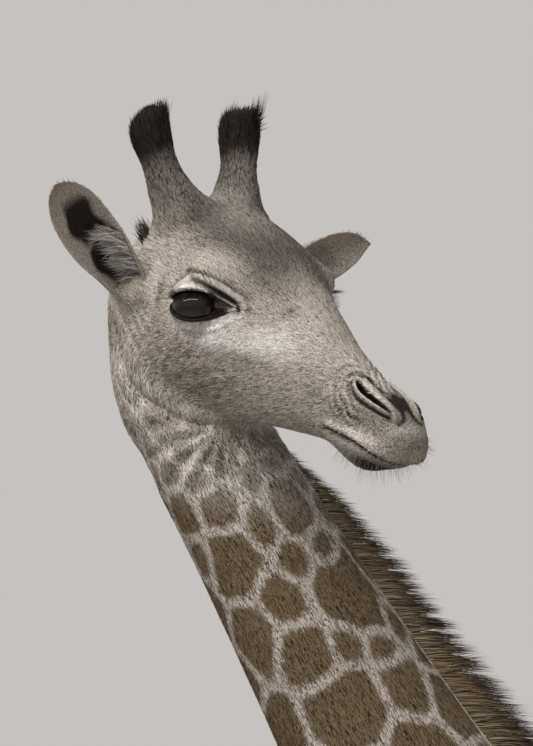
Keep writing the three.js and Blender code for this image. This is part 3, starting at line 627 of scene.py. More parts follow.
def zip_up(points, rim, other_rim, middle, axis):
    """Triangles between two loops of point numbers that go round the same axis. Each loop is put in order
    of its angle, never stepping back; each step along one makes a triangle with the point that the other
    has reached. The first loop is given in the order of its faces, and the triangles face as they do."""
    across = unit(np.cross(axis, [0.3, 0.5, 0.8]))
    up = np.cross(axis, across)

    def in_order(loop):
        off = points[loop] - middle
        angle = np.arctan2(off @ up, off @ across) % ROUND
        turned = np.unwrap(np.append(angle, angle[0]))[-1] < angle[0]
        if turned:
            loop, angle = loop[::-1], angle[::-1]
        loop, angle = (np.roll(v, -np.argmin(angle)) for v in (loop, angle))
        angle = np.maximum.accumulate(np.unwrap(angle))
        return loop, np.append(np.minimum(angle[1:], angle[0] + ROUND), angle[0] + ROUND), turned

    (a, angle_a, turned), (b, angle_b, _) = in_order(rim), in_order(other_rim)
    beside_a = b[np.searchsorted(angle_b, angle_a, "left") % len(b)]
    beside_b = a[np.searchsorted(angle_a, angle_b, "right") % len(a)]
    made = np.concatenate([np.stack([np.roll(a, -1), a, beside_a], -1),
                           np.stack([b, np.roll(b, -1), beside_b], -1)])
    return made[:, ::-1] if turned else made


def halve_edges(points, faces, near):
    """Halves every edge whose two ends are both in the mask: a triangle with all three becomes four, and
    one with a single halved edge becomes two. The new points follow the old ones."""
    ends = np.sort(np.concatenate([faces[:, [0, 1]], faces[:, [1, 2]], faces[:, [2, 0]]]), 1)
    split = near[ends].all(1)
    pairs, which = np.unique(ends[split], axis=0, return_inverse=True)
    middle = np.full(len(ends), -1)
    middle[split] = len(points) + which.ravel()
    middle = middle.reshape(3, -1).T
    count = (middle >= 0).sum(1)
    made = [faces[count == 0]]
    (a, b, c), (ab, bc, ca) = faces[count == 3].T, middle[count == 3].T
    made += [np.stack(t, -1) for t in ((a, ab, ca), (ab, b, bc), (ca, bc, c), (ab, bc, ca))]
    for k in range(3):
        one = (count == 1) & (middle[:, k] >= 0)
        a, b, c = np.roll(faces[one], -k, 1).T
        made += [np.stack([a, middle[one, k], c], -1), np.stack([middle[one, k], b, c], -1)]
    return np.concatenate([points, points[pairs].mean(1)]), np.concatenate(made)


# The head and the upper neck as one body of flesh, down to just under the upper third of the neck.
SEAM = UPPER_THIRD - 0.055
FINE = 0.0061
fine_at = np.linspace(SEAM - 0.12, spine.last, 110)
fine_lofts = {"head": closed_loft(head_rings(100, 88, -FACE_COAT)),
              "neck": closed_loft(spine_rings(fine_at, 88, -COAT_DEPTH))}
for name, side in SIDES.items():
    fine_lofts[f"horn_{name}"] = closed_loft(horn_rings(side))
    fine_lofts[f"ear_{name}"] = ear_stalk(name)
everything = np.concatenate([points for points, _ in fine_lofts.values()])
upper = Flesh(FINE, everything.min(0) - 0.03, everything.max(0) + 0.03, fine_lofts)
upper.melt("head", 0)
upper.melt("neck", 0.030)
for name in SIDES:
    upper.melt(f"horn_{name}", 0.022)
    upper.melt(f"ear_{name}", 0.018)
skin, skin_faces = upper.surface()
seam_middle, _, _, _, _, seam_way = (v[0] for v in spine_frame(np.array([SEAM])))
skin_faces, (neck_rim,) = open_up(skin, skin_faces, (skin - seam_middle) @ seam_way < 0)


def bell(x):
    """1 at 0, falling off on both sides as exp(-x*x)."""
    return np.exp(-x * x)


def ease(low, high, x):
    """0 up to low, 1 from high, and t*t*(3 - 2*t) between."""
    t = np.clip((x - low) / (high - low), 0, 1)
    return t * t * (3 - 2 * t)


# The lips part along this line (ahead, up): high at the corner, then down and round the front.
mouth_line = smooth_curve([-0.060, 0.090, 0.207, 0.263, 0.303, 0.321, 0.345],
                          [-0.104, -0.112, -0.117, -0.1195, -0.127, -0.1345, -0.139])
MOUTH_CORNER = 0.198


def settle(points):
    """Points moved onto the surface: three steps of the field's value back along its slope."""
    for _ in range(3):
        points = points - upper.slope(points) * upper.sample(upper.field, points)[:, None]
    return points


for wanted in (0.026, 0.011):  # the skin is made finer towards the lips, and over the nose
    ahead, _, up = head_measures(skin).T
    by_lips = (abs(up - mouth_line(ahead)) < wanted) & (ahead > MOUTH_CORNER - 0.02)
    by_nose = (ahead > 0.195) & (up > -0.095) if wanted > 0.02 else False
    old = len(skin)
    skin, skin_faces = halve_edges(skin, skin_faces, by_lips | by_nose)
    skin[old:] = settle(skin[old:])


RIM_SIDES = 96  # how many points the rim of an opening has


class Opening:
    """A gathered opening in the skin, such as an eye's or a nostril's: a polar patch of rows that run from
    deep inside, over the rim, to an oval on the bare skin, where it is sewn into a hole cut for it.
    Its plane has its middle, its ways ahead and up in it, and its way out."""

    def __init__(self, middle, ahead, out, side, oval_middle, oval):
        self.middle, self.out = middle, unit(out)
        self.ahead = unit(ahead - (ahead @ self.out) * self.out)
        self.up = side * np.cross(self.ahead, self.out)
        self.oval_middle, self.oval = np.array(oval_middle), np.array(oval)

    def measures(self, points):
        """Distances ahead, up and out from the middle."""
        return ((points - self.middle) @ np.stack([self.ahead, self.up, self.out], -1)).T

    def place(self, x, y, h):
        """The point x ahead, y up and h out."""
        return self.middle + x[..., None] * self.ahead + y[..., None] * self.up + h[..., None] * self.out

    def bare(self, x, y, highest=0.05, lowest=-0.055, step=0.0015):
        """The bare skin's height over the plane: down each upright line from outside, where the flesh's
        field first turns negative, by a straight line between the two readings."""
        levels = np.arange(highest, lowest, -step)
        field = upper.sample(upper.field, self.place(x[..., None], y[..., None], levels).reshape(-1, 3))
        field = field.reshape(*x.shape, len(levels))
        hit = np.clip(np.argmax(field < 0, -1), 1, None)[..., None]
        over, under = (np.take_along_axis(field, i, -1)[..., 0] for i in (hit - 1, hit))
        return levels[hit[..., 0] - 1] - step * over / np.maximum(over - under, 1e-6)

    def sew(self, edge, spread, shape, sides=RIM_SIDES, lowest=-0.05):
        """Cuts the hole and sews the patch in. edge(angle) gives the rim in the plane; the rows lie at
        parts of the rim's size up to 1, then spread from the rim to the oval; shape gives their heights.
        The hole takes only skin above the lowest height."""
        global skin, skin_faces
        angle = np.arange(sides) * ROUND / sides
        rim = edge(angle)
        oval = self.oval_middle + self.oval * np.stack([np.cos(angle), np.sin(angle)], -1)
        core = rim.mean(0)
        inner, outer = spread
        rows = [core + (rim - core) * part for part in inner] + [rim + (oval - rim) * part for part in outer]
        x, y = np.moveaxis(np.stack(rows), -1, 0)
        part = np.concatenate([inner - 1, outer])[:, None] + 0 * x
        from_rim = np.hypot(x - rim[:, 0], y - rim[:, 1]) * np.sign(part)
        patch = self.place(*shape(x, y, angle[None] + 0 * x, part, from_rim))
        ahead, up, out = self.measures(skin)
        inside = (((ahead - self.oval_middle[0]) / self.oval[0]) ** 2
                  + ((up - self.oval_middle[1]) / self.oval[1]) ** 2 < 1.15) & (out > lowest)
        skin_faces, rims = open_up(skin, skin_faces, inside)
        near = [abs(self.measures(skin[r].mean(0))[:2] - self.oval_middle).sum() for r in rims]
        hole = rims[int(np.argmin(near))]
        for _ in range(4):  # the hole's rim is evened out
            skin[hole] = (np.roll(skin[hole], 1, 0) + np.roll(skin[hole], -1, 0) + 2 * skin[hole]) / 4
        skin[hole] = settle(skin[hole])
        start = len(skin)
        grid = start + np.arange(patch.shape[0] * sides).reshape(-1, sides)
        walls = ring_walls(grid)
        skin = np.concatenate([skin, patch.reshape(-1, 3), patch[:1].mean(1)])
        made = np.concatenate([walls, hub_fan(start + grid.size, grid[0])])
        outwards = np.einsum("ij,j->i", np.cross(skin[walls[:, 1]] - skin[walls[:, 0]],
                                                 skin[walls[:, 2]] - skin[walls[:, 0]]), self.out).sum()
        made = made if outwards > 0 else made[:, ::-1]
        seam = zip_up(skin, hole, grid[-1], self.place(*np.append(self.oval_middle, 0.0)), self.out)
        skin_faces = np.concatenate([skin_faces, made, seam])


def melt_up(a, b, width):
    """The larger of two heights, their crease filled: max + w/4 * max(0, 1 - |a - b|/w) squared."""
    return np.maximum(a, b) + width / 4 * np.clip(1 - np.abs(a - b) / width, 0, None) ** 2


def ridges(d, *rows):
    """Folds side by side: for each (height, place, width), height * bell((d - place)/width), summed."""
    return sum(height * bell((d - place) / width) for height, place, width in rows)


# The eyes' openings: almonds wrapped over the ball, the lids thick and folded, a deep front corner.
EYE_RADIUS = 0.030
EYE_PLACE = np.array([-0.018, 0.110, -0.011])  # the ball's middle: ahead, out to its side, up
EYE_HALF, EYE_RISE, EYE_DROP = 0.0445, 0.0195, 0.0185  # half length and heights of the almond
ALMOND_TILT = math.radians(9.6)
ALMOND_MIDDLE = np.array([0.0105, 0.0055])
LID = 0.0032


def almond(angle):
    """The rim of an eye: half length * cos, and height * sin to a power that is 1.4 at the round back
    corner and 2.8 at the sharp front one, the whole tilted up in front."""
    s, c = np.sin(angle), np.cos(angle)
    height = np.where(s > 0, EYE_RISE, -EYE_DROP) * np.abs(s) ** (2.1 + 0.7 * c)
    length = EYE_HALF * c
    return ALMOND_MIDDLE + np.stack([length * math.cos(ALMOND_TILT) - height * math.sin(ALMOND_TILT),
                                     length * math.sin(ALMOND_TILT) + height * math.cos(ALMOND_TILT)], -1)


def dome(radius, r):
    """The height of a ball r away from its top, and past its edge a slope that falls away."""
    return np.sqrt(np.clip(radius**2 - r * r, 0, None)) - 1.5 * np.clip(r - radius, 0, None)


def lids(opening):
    """Heights of the lids. The lid is a shell LID thick on the ball, melted into the bare skin by 14 mm;
    inside the rim the skin dips to the ball and under it. Folds are bells of the distance from the rim."""

    def shape(x, y, angle, part, from_rim):
        r = np.hypot(x, y)
        bare = opening.bare(x, y)
        fade = 1 - ease(0.62, 1.0, part)
        front_hollow = -0.010 * bell((x - 0.052) / 0.020) * bell((y - 0.010) / 0.016)
        under_hollow = -0.004 * bell((x - 0.010) / 0.035) * bell((y + 0.036) / 0.010)
        skin_height = melt_up(dome(EYE_RADIUS + LID, r), bare + (front_hollow + under_hollow) * fade, 0.014)
        d = from_rim
        upper_half, lower_half = ease(-0.05, 0.45, np.sin(angle)), ease(-0.05, 0.45, -np.sin(angle))
        front = ease(-0.7, 0.5, np.cos(angle))
        behind = ease(0.45, 0.85, -np.cos(angle))
        crease, outer_crease = -0.0030 * (0.25 + 0.75 * front), -0.0026 * (0.4 + 0.6 * front)
        fold = upper_half * ridges(d, (0.0008, 0.0045, 0.0030), (crease, 0.0100, 0.0022),
                                   (0.0026, 0.0160, 0.0042), (outer_crease, 0.0235, 0.0026),
                                   (0.0016, 0.0300, 0.0042), (-0.0010, 0.0360, 0.0022))
        fold = fold + lower_half * ridges(d, (0.0008, 0.0060, 0.0030), (-0.0014, 0.0135, 0.0022),
                                          (0.0006, 0.0180, 0.0030), (-0.0010, 0.0225, 0.0024))
        fold = fold + behind * ridges(d, (-0.0020, 0.0075, 0.0022), (0.0014, 0.0120, 0.0030),
                                      (-0.0018, 0.0175, 0.0022))
        height = skin_height + fold * fade
        off_ball = ease(EYE_RADIUS - 0.004, EYE_RADIUS + 0.002, r)
        floor_of_rim = (dome(EYE_RADIUS, r) + 0.0003) * (1 - off_ball) + (height - 0.0025) * off_ball
        depth = np.interp(part, [-0.20, -0.10, -0.04, -0.012, 0], [0.007, 0.004, 0.0014, 0, 0])
        return x, y, np.where(part < -1e-6, floor_of_rim - depth, height)

    return shape


LID_ROWS = np.array([0.80, 0.90, 0.96, 0.988, 1.0]), (np.arange(1, 37) / 36) ** 1.5
eye_openings = {}
for name, side in SIDES.items():
    opening = Opening(on_head(EYE_PLACE * [1, side, 1]), head_axes[:, 0], head_axes @ [0.20, side, 0], side,
                      (0.008, 0.004), (0.072, 0.055))
    opening.sew(almond, LID_ROWS, lids(opening))
    eye_openings[name] = opening

# The nostrils: slits that lie back along the nose, with a round upper wing, a sharp lower edge and a
# crease under it, and a deep dark passage.
NOSTRIL_PLACE = np.array([0.268, 0.031, -0.056])
NOSTRIL_HALF = 0.036


def slit(angle):
    """The rim of a nostril: half length * cos and 4.2 mm * sin, wider behind, its middle 5.5 mm lower."""
    c, s = np.cos(angle), np.sin(angle)
    width = 0.0042 * (1 + 0.35 * ease(0.2, -0.9, c))
    return np.stack([NOSTRIL_HALF * c, width * s - 0.0055 * (1 - c * c)], -1)


def wings(opening, rise):
    """Heights of a nostril's rims: bells of the distance from the edge, above and below the slit; inside,
    the passage sinks and runs back towards the face by two thirds of its depth."""

    def shape(x, y, angle, part, from_rim):
        bare = opening.bare(x, y, 0.03, -0.04)
        fade = 1 - ease(0.6, 1.0, part)
        d = from_rim
        over, under = ease(-0.25, 0.35, np.sin(angle)), ease(-0.35, 0.25, -np.sin(angle))
        behind = ease(0.5, 0.95, -np.cos(angle))
        notch = 1 - 0.6 * bell((x - 0.004) / 0.0035)
        ridge = over * ridges(d, (0.0044 * notch, 0.0065, 0.0055), (-0.0028, 0.0165, 0.0030))
        ridge = ridge + under * ridges(d, (0.0040, 0.0015, 0.0020), (-0.0030, 0.0068, 0.0026),
                                       (0.0012, 0.0120, 0.0040))
        ridge = ridge + behind * ridges(d, (0.0030, 0.0050, 0.0040), (-0.0024, 0.0135, 0.0025),
                                        (0.0014, 0.0180, 0.0020), (-0.0016, 0.0220, 0.0020))
        depth = np.interp(part, [-0.75, -0.5, -0.3, -0.12, 0], [0.030, 0.022, 0.012, 0.004, 0])
        return x - depth * 0.66, y, bare + ridge * fade * rise - depth

    return shape


NOSTRIL_ROWS = np.array([0.25, 0.4, 0.55, 0.7, 0.82, 0.92, 1.0]), (np.arange(1, 25) / 24) ** 1.3
nostril_openings = {}
for name, side in SIDES.items():
    opening = Opening(on_head(NOSTRIL_PLACE * [1, side, 1]), head_axes @ [0.95, side * -0.03, -0.31],
                      head_axes @ [0.30, side * 0.62, 0.72], side, (0, -0.001), (0.055, 0.027))
    opening.sew(slit, NOSTRIL_ROWS, wings(opening, 1.0 if name == "right" else 0.5), 80, -0.03)
    nostril_openings[name] = opening

# The trunk, lower neck and upper legs as a second body of flesh on a wider grid, sewn to the upper neck.
COARSE = 0.022
LEG_SEAM = 1.20
TAIL_SEAM = 0.215
RUMP_END = 1.240  # the tail hangs clear of the rump behind this
body_at = np.linspace(0, UPPER_THIRD + 0.10, 150)
tail_root = np.linspace(-0.02, TAIL_SEAM + 0.09, 20)
body_lofts = {"trunk": closed_loft(spine_rings(body_at, 72, -COAT_DEPTH)),
              "tail": closed_loft(tail_rings(tail_root, 24, tail_table.radius(tail_root) - COAT_DEPTH / 2))}
for name, (bones, *_) in LEGS.items():
    body_lofts[name] = closed_loft(leg_rings(name, np.linspace(LEG_SEAM - 0.12, bones.last, 60), 40))
everything = np.concatenate([points for points, _ in body_lofts.values()])
lower = Flesh(COARSE, everything.min(0) - 0.08, everything.max(0) + 0.08, body_lofts, 5)
lower.melt("trunk", 0)
lower.melt("tail", 0.05)
for name in LEGS:
    lower.melt(name, 0.09)
body, body_faces = lower.surface()
tail_seam_middle, tail_seam_way, _ = (v[0] for v in tail_line(np.array([TAIL_SEAM])))
beyond = ((body - seam_middle) @ seam_way > -COARSE * 0.8) & (body[:, 2] > 2.9)
beyond |= body[:, 2] < LEG_SEAM + COARSE * 0.5
beyond |= ((body - tail_seam_middle) @ tail_seam_way > -COARSE * 0.3) & (body[:, 1] > RUMP_END)
body_faces, body_rims = open_up(body, body_faces, beyond)


def join(more, more_faces):
    """Adds a mesh to the skin and returns the number of its first point."""
    global skin, skin_faces
    start = len(skin)
    skin = np.concatenate([skin, more])
    skin_faces = np.concatenate([skin_faces, more_faces + start])
    return start


def sew_to_body(rim, middle, axis):
    """Joins a rim of the skin to the body's rim whose middle lies nearest, round the given axis."""
    global skin_faces
    nearest = min(body_rims, key=lambda other: np.linalg.norm(body[other].mean(0) - middle)) + body_start
    skin_faces = np.concatenate([skin_faces, zip_up(skin, nearest, rim, middle, axis)])


def open_tube(rings):
    """A tube of rings, facing out, open at its first ring and closed with a fan at its last."""
    points, faces = closed_loft(rings)
    count = rings.shape[1]
    faces = facing_out(points, np.concatenate([faces[:-2 * count], faces[-count:]]))
    return points, faces, np.arange(count)


body_start = join(body, body_faces)
sew_to_body(neck_rim, seam_middle, seam_way)
LEG_SIDES = 32
for name in LEGS:
    heights = LEG_SEAM - (LEG_SEAM - HOOF_TOP - 0.0005) * np.linspace(0, 1, 84)
    points, faces, rim = open_tube(leg_rings(name, heights, LEG_SIDES))
    sew_to_body(rim + join(points, faces), leg_middle(name, np.array([LEG_SEAM]))[0], np.array([0, 0, 1.0]))
tail_at = np.linspace(TAIL_SEAM, TUFT_FROM + 0.03, 60)
tail_radius = smooth_curve([0, 0.400, TUFT_FROM, TUFT_FROM + 0.03], [0.042, 0.020, 0.013, 0.006])
points, faces, rim = open_tube(tail_rings(tail_at, 20, np.where(
    tail_at < 0.4, tail_table.radius(tail_at), tail_radius(tail_at)) - 0.002))
sew_to_body(rim + join(points, faces), tail_seam_middle, tail_seam_way)


def point_normals(points, faces):
    """Each point's way out: the sum of its triangles' normals, which are as long as their areas."""
    flat = np.cross(points[faces[:, 1]] - points[faces[:, 0]], points[faces[:, 2]] - points[faces[:, 0]])
    each = np.repeat(flat, 3, 0)
    return unit(np.stack([np.bincount(faces.ravel(), each[:, k], len(points)) for k in range(3)], -1))


stations = np.linspace(0, spine.last, 1200)
station_middle, _, _, station_crest, station_left, station_ahead = spine_frame(stations)


def spine_measures(points):
    """Distance along the spine and angle round it from the crest. Of the stations near the closest one,
    the right one is that whose section plane holds the point."""
    place, angle = np.empty(len(points)), np.empty(len(points))
    for low in range(0, len(points), 20000):
        p = points[low:low + 20000]
        gap = p[:, None] - station_middle[None, ::12]
        near = np.einsum("ijk,ijk->ij", gap, gap).argmin(1) * 12
        window = np.clip(near[:, None] + np.arange(-60, 61, 3), 0, len(stations) - 1)
        lean = np.abs(np.einsum("ijk,ijk->ij", p[:, None] - station_middle[window], station_ahead[window]))
        k = window[np.arange(len(p)), lean.argmin(1)]
        off = p - station_middle[k]
        place[low:low + len(p)] = stations[k]
        angle[low:low + len(p)] = np.arctan2(np.einsum("ij,ij->i", off, station_left[k]),
                                             np.einsum("ij,ij->i", off, station_crest[k]))
    return place, angle


def spine_way(points):
    """The spine's way towards the head, beside each point."""
    place, _ = spine_measures(points)
    return station_ahead[np.clip(np.searchsorted(stations, place), 0, len(stations) - 1)]


def shares(flesh, points, softness, names):
    """How much of a point belongs to each loft: exp(-distance/softness), made to add up to 1."""
    weight = np.stack([np.exp(-np.clip(flesh.sample(flesh.parts[n], points), -0.1, 0.1) / softness)
                       for n in names])
    return dict(zip(names, weight / weight.sum(0)))


def upper_shares(points):
    """The shares of the upper body's lofts, softened over 12 mm."""
    return shares(upper, points, 0.012, list(upper.parts))


UPPER_FROM = 3.22  # above this height the upper body of flesh is read, below it the lower one


def lie_of_coat(points):
    """The way that the hair points: back from the nose to the poll and down the cheeks, up the horns, down
    the neck, back and down over the trunk, down the legs and the tail."""
    way = np.zeros_like(points)
    high = points[:, 2] > UPPER_FROM
    p = points[high]
    part = upper_shares(p)
    ahead, left, up = head_measures(p).T
    face_way = np.stack([-1 + 0 * ahead, 0.25 * left / 0.1, -0.55 * ease(0.03, -0.10, up)], -1)
    for opening in eye_openings.values():
        x, y, out = opening.measures(p)
        r = np.hypot(x, y)
        away = ((x / r)[:, None] * opening.ahead + (y / r)[:, None] * opening.up) @ head_axes
        face_way = face_way + away * (1.6 * bell(r / 0.060) * (abs(out) < 0.06))[:, None]
    total = part["head"][:, None] * unit(face_way @ head_axes.T)
    total = total - part["neck"][:, None] * spine_way(p)
    for name, side in SIDES.items():
        total = total + part[f"horn_{name}"][:, None] * horn_line(side)[3][0]
        total = total + part[f"ear_{name}"][:, None] * ear_line(name)[2][0]
    way[high] = total
    p = points[~high]
    names = ["trunk", "tail", *LEGS]
    part = shares(lower, p, 0.05, names)
    down = np.array([0, 0, -1.0])
    total = part["trunk"][:, None] * (down * (0.45 * ease(3.2, 2.6, p[:, 2]))[:, None] - spine_way(p))
    total = total + (sum(part[n] for n in LEGS) + part["tail"])[:, None] * down
    way[~high] = np.where((p[:, 2] < LEG_SEAM + 0.05)[:, None], down, total)
    return unit(way)


# The markings: brown patches with round corners, parted by a net of pale lines. Those on the near side of
# the upper neck are placed one by one; the rest are strewn, smaller towards the head and the feet.
mane_twist = smooth_curve([WITHERS, SKULL_BASE - 0.75, SKULL_BASE - 0.60, SKULL_BASE - 0.45, spine.last],
                          [0, 0, 8, 16, 16])  # degrees by which the mane's root is off the crest
NECK_PATCHES = [  # down from the skull base, degrees round from the crest, half length, half width, slant
    (0.381, 164, 0.044, 0.042, 0), (0.451, 132, 0.040, 0.026, 10), (0.483, 169, 0.054, 0.041, -8),
    (0.538, 128, 0.046, 0.038, 12), (0.492, 74, 0.070, 0.046, 0), (0.354, 130, 0.029, 0.018, -10),
    (0.344, 97, 0.052, 0.026, 0), (0.300, 162, 0.031, 0.025, 14), (0.285, -160, 0.032, 0.026, 0),
    (0.282, 125, 0.033, 0.014, 0), (0.259, 171, 0.019, 0.020, 0), (0.224, -156, 0.020, 0.022, 0),
    (0.350, -164, 0.034, 0.022, 0), (0.420, -150, 0.046, 0.036, 0), (0.633, 114, 0.058, 0.054, 0),
    (0.640, 66, 0.056, 0.034, 0), (0.610, 168, 0.058, 0.042, 0), (0.555, 46, 0.040, 0.020, 0),
    (0.440, 44, 0.050, 0.020, 0), (0.520, -166, 0.044, 0.036, 0)]


def jowl(points):
    """How much a point lies on the cheek behind and under the eye, where small faint patches run out."""
    ahead, _, up = head_measures(points).T
    return bell((ahead + 0.035) / 0.080) * bell((up + 0.095) / 0.060) * (points[:, 2] > UPPER_FROM)


def patch_size(points):
    """The usual half width of a patch: 88 mm on the trunk, 42 mm high on the neck, 22 mm at the feet,
    9.5 mm on the jowl."""
    z = points[:, 2]
    on_neck = ease(-0.25, -0.62, points[:, 1]) * (z > 2.3)
    body_size = np.interp(z, [0.15, 0.5, 1.0, 1.4, 1.9], [0.022, 0.030, 0.042, 0.058, 0.088])
    neck_size = np.interp(z, [2.4, 3.0, 3.5, 3.8], [0.082, 0.064, 0.042, 0.028])
    size = body_size * (1 - on_neck) + neck_size * on_neck
    return np.where((jowl(points) > 0.3) & (head_measures(points)[:, 2] > -0.15), 0.0095, size)


def strewn_patches():
    """Places, ways and half sizes of all the patches: darts thrown at the skin in a fixed order, each kept
    if it lies no nearer to another than 0.90 of their two half widths together."""
    down, turn, length, width, slant = np.array(NECK_PATCHES).T
    place = SKULL_BASE - down
    turn, slant = np.radians(turn)[:, None], np.radians(slant)[:, None]
    middle, above, below, crest, left, ahead = spine_frame(place)
    deep = np.where(np.cos(turn) > 0, above[:, None], below[:, None])
    at = middle + crest * np.cos(turn) * deep + left * np.sin(turn) * spine.half(place)[:, None]
    around = np.cross(ahead, crest * np.cos(turn) + left * np.sin(turn))
    long_way = -ahead * np.cos(slant) + around * np.sin(slant)
    chance = np.random.default_rng(41)
    hide = skin[chance.permutation(ear_start)[:26000]]
    head_share = np.zeros(len(hide))
    high = hide[:, 2] > UPPER_FROM
    head_share[high] = 1 - upper_shares(hide[high])["neck"]
    hide = hide[((head_share < 0.3) | (jowl(hide) > 0.3)) & (hide[:, 2] > 0.16)]
    kept, kept_size = list(at), list(0.5 * (length + width))
    for shrink in (1.0, 0.6):  # whole patches first, then small ones where a gap is left
        for p, size in zip(hide, patch_size(hide) * shrink):
            gap = np.linalg.norm(np.array(kept) - p, axis=1)
            if (gap > 0.90 * (np.array(kept_size) + size)).all():
                kept.append(p)
                kept_size.append(size)
    more = np.array(kept[len(at):])
    more_long = lie_of_coat(more)
    more_size = np.array(kept_size[len(at):])
    chance.normal(size=more.shape)  # drawn but not needed: it keeps the sizes after it as they are
    return (np.concatenate([at, more]), np.concatenate([long_way, more_long]),
            np.concatenate([length, more_size * chance.uniform(0.95, 1.3, len(more))]),
            np.concatenate([width, more_size * chance.uniform(0.85, 1.1, len(more))]))


def patch_depth(points):
    """How far a point lies inside a patch, in metres, negative on the pale net. With q the distance to a
    patch's middle in half sizes, and q1, q2 the two least: the lesser of (q2 - q1)/2 less half a line, and
    1.32 - q1, each times the patch's size, their corner rounded off."""
    found = np.empty(len(points))
    for low in range(0, len(points), 6000):
        p = points[low:low + 6000].astype(np.float32)
        off = p[:, None] - PATCH_AT[None]
        along = np.einsum("ijk,jk->ij", off, PATCH_LONG) / PATCH_LENGTH
        total = np.einsum("ijk,ijk->ij", off, off)
        across = (total - (along * PATCH_LENGTH) ** 2) / PATCH_WIDTH**2
        q = np.sqrt(along**2 + np.clip(across, 0, None))
        two = np.argpartition(q, 1, 1)[:, :2]
        q1, q2 = (np.take_along_axis(q, two[:, [k]], 1)[:, 0] for k in (0, 1))
        size = 0.5 * (PATCH_WIDTH + PATCH_LENGTH)[two[:, 0]]
        line = 0.0040 + 0.062 * size
        between, within = (q2 - q1) / 2 * size - line, (1.32 - q1) * size
        found[low:low + len(p)] = -melt_up(-between, -within, 0.012)
    return found


ear_start = len(skin)
for name in EARS:
    join(*ear_surface(name))
on_leaf = np.arange(len(skin)) >= ear_start
PATCH_AT, PATCH_LONG, PATCH_LENGTH, PATCH_WIDTH = (v.astype(np.float32) for v in strewn_patches())


def refine(points, faces, chosen, longest):
    """Every edge between two chosen points that is longer than the given length is halved, at the middle
    of the curve that stands square to both ends' normals: with d = b - a, the point
    (a + b)/2 + ((d.nb) nb - (d.na) na)/8."""
    sides = faces[:, [[0, 1], [1, 2], [2, 0]]].reshape(-1, 2)
    edges, which = np.unique(np.sort(sides, 1), axis=0, return_inverse=True)
    which = which.reshape(-1, 3)
    a, b = points[edges[:, 0]], points[edges[:, 1]]
    halved = chosen[edges].all(1) & (np.linalg.norm(b - a, axis=1) > longest)
    middle = len(points) + np.cumsum(halved) - 1
    out = point_normals(points, faces)
    d = (b - a)[halved]
    na, nb = out[edges[halved, 0]], out[edges[halved, 1]]
    lift = (d * nb).sum(1)[:, None] * nb - (d * na).sum(1)[:, None] * na
    points = np.concatenate([points, (a[halved] + b[halved]) / 2 + lift / 8])
    cut = halved[which]
    made = [faces[cut.sum(1) == 0]]
    for turn in range(3):
        p, q, r = (np.roll(faces, -turn, 1)[:, k] for k in range(3))
        pq, qr, rp = (np.roll(middle[which], -turn, 1)[:, k] for k in range(3))
        own = np.roll(cut, -turn, 1)
        one = own[:, 0] & ~own[:, 1] & ~own[:, 2]
        made += [np.stack([p, pq, r], 1)[one], np.stack([pq, q, r], 1)[one]]
        two = own[:, 0] & own[:, 1] & ~own[:, 2]
        made += [np.stack([pq, q, qr], 1)[two], np.stack([p, pq, qr], 1)[two], np.stack([p, qr, r], 1)[two]]
        if turn == 0:
            all_three = own.all(1)
            made += [np.stack(corners, 1)[all_three]
                     for corners in ((p, pq, rp), (pq, q, qr), (rp, qr, r), (pq, qr, rp))]
    return points, np.concatenate(made)


def rim_distance(opening, edge, points):
    """How far points lie outside the rim of an opening, in its plane (negative inside), and their angle
    round its middle. A point is inside if the rim crosses the line to its right an odd number of times."""
    x, y, out = opening.measures(points)
    rim = edge(np.arange(RIM_SIDES) * ROUND / RIM_SIDES)
    core = rim.mean(0)
    near, inside = np.full(len(points), 0.2), np.zeros(len(points), bool)
    close = np.hypot(x - core[0], y - core[1]) < 0.12
    px, py = x[close, None], y[close, None]
    near[close] = np.hypot(px - rim[:, 0], py - rim[:, 1]).min(1)
    (ax, ay), (bx, by) = rim.T, np.roll(rim, -1, 0).T
    crossed = ((ay > py) != (by > py)) & (px < ax + (bx - ax) * (py - ay) / (by - ay + 1e-12))
    inside[close] = crossed.sum(1) % 2 == 1
    angle = np.arctan2((y - core[1]) / np.ptp(rim[:, 1]), (x - core[0]) / np.ptp(rim[:, 0]))
    return np.where(inside, -near, near), angle, out


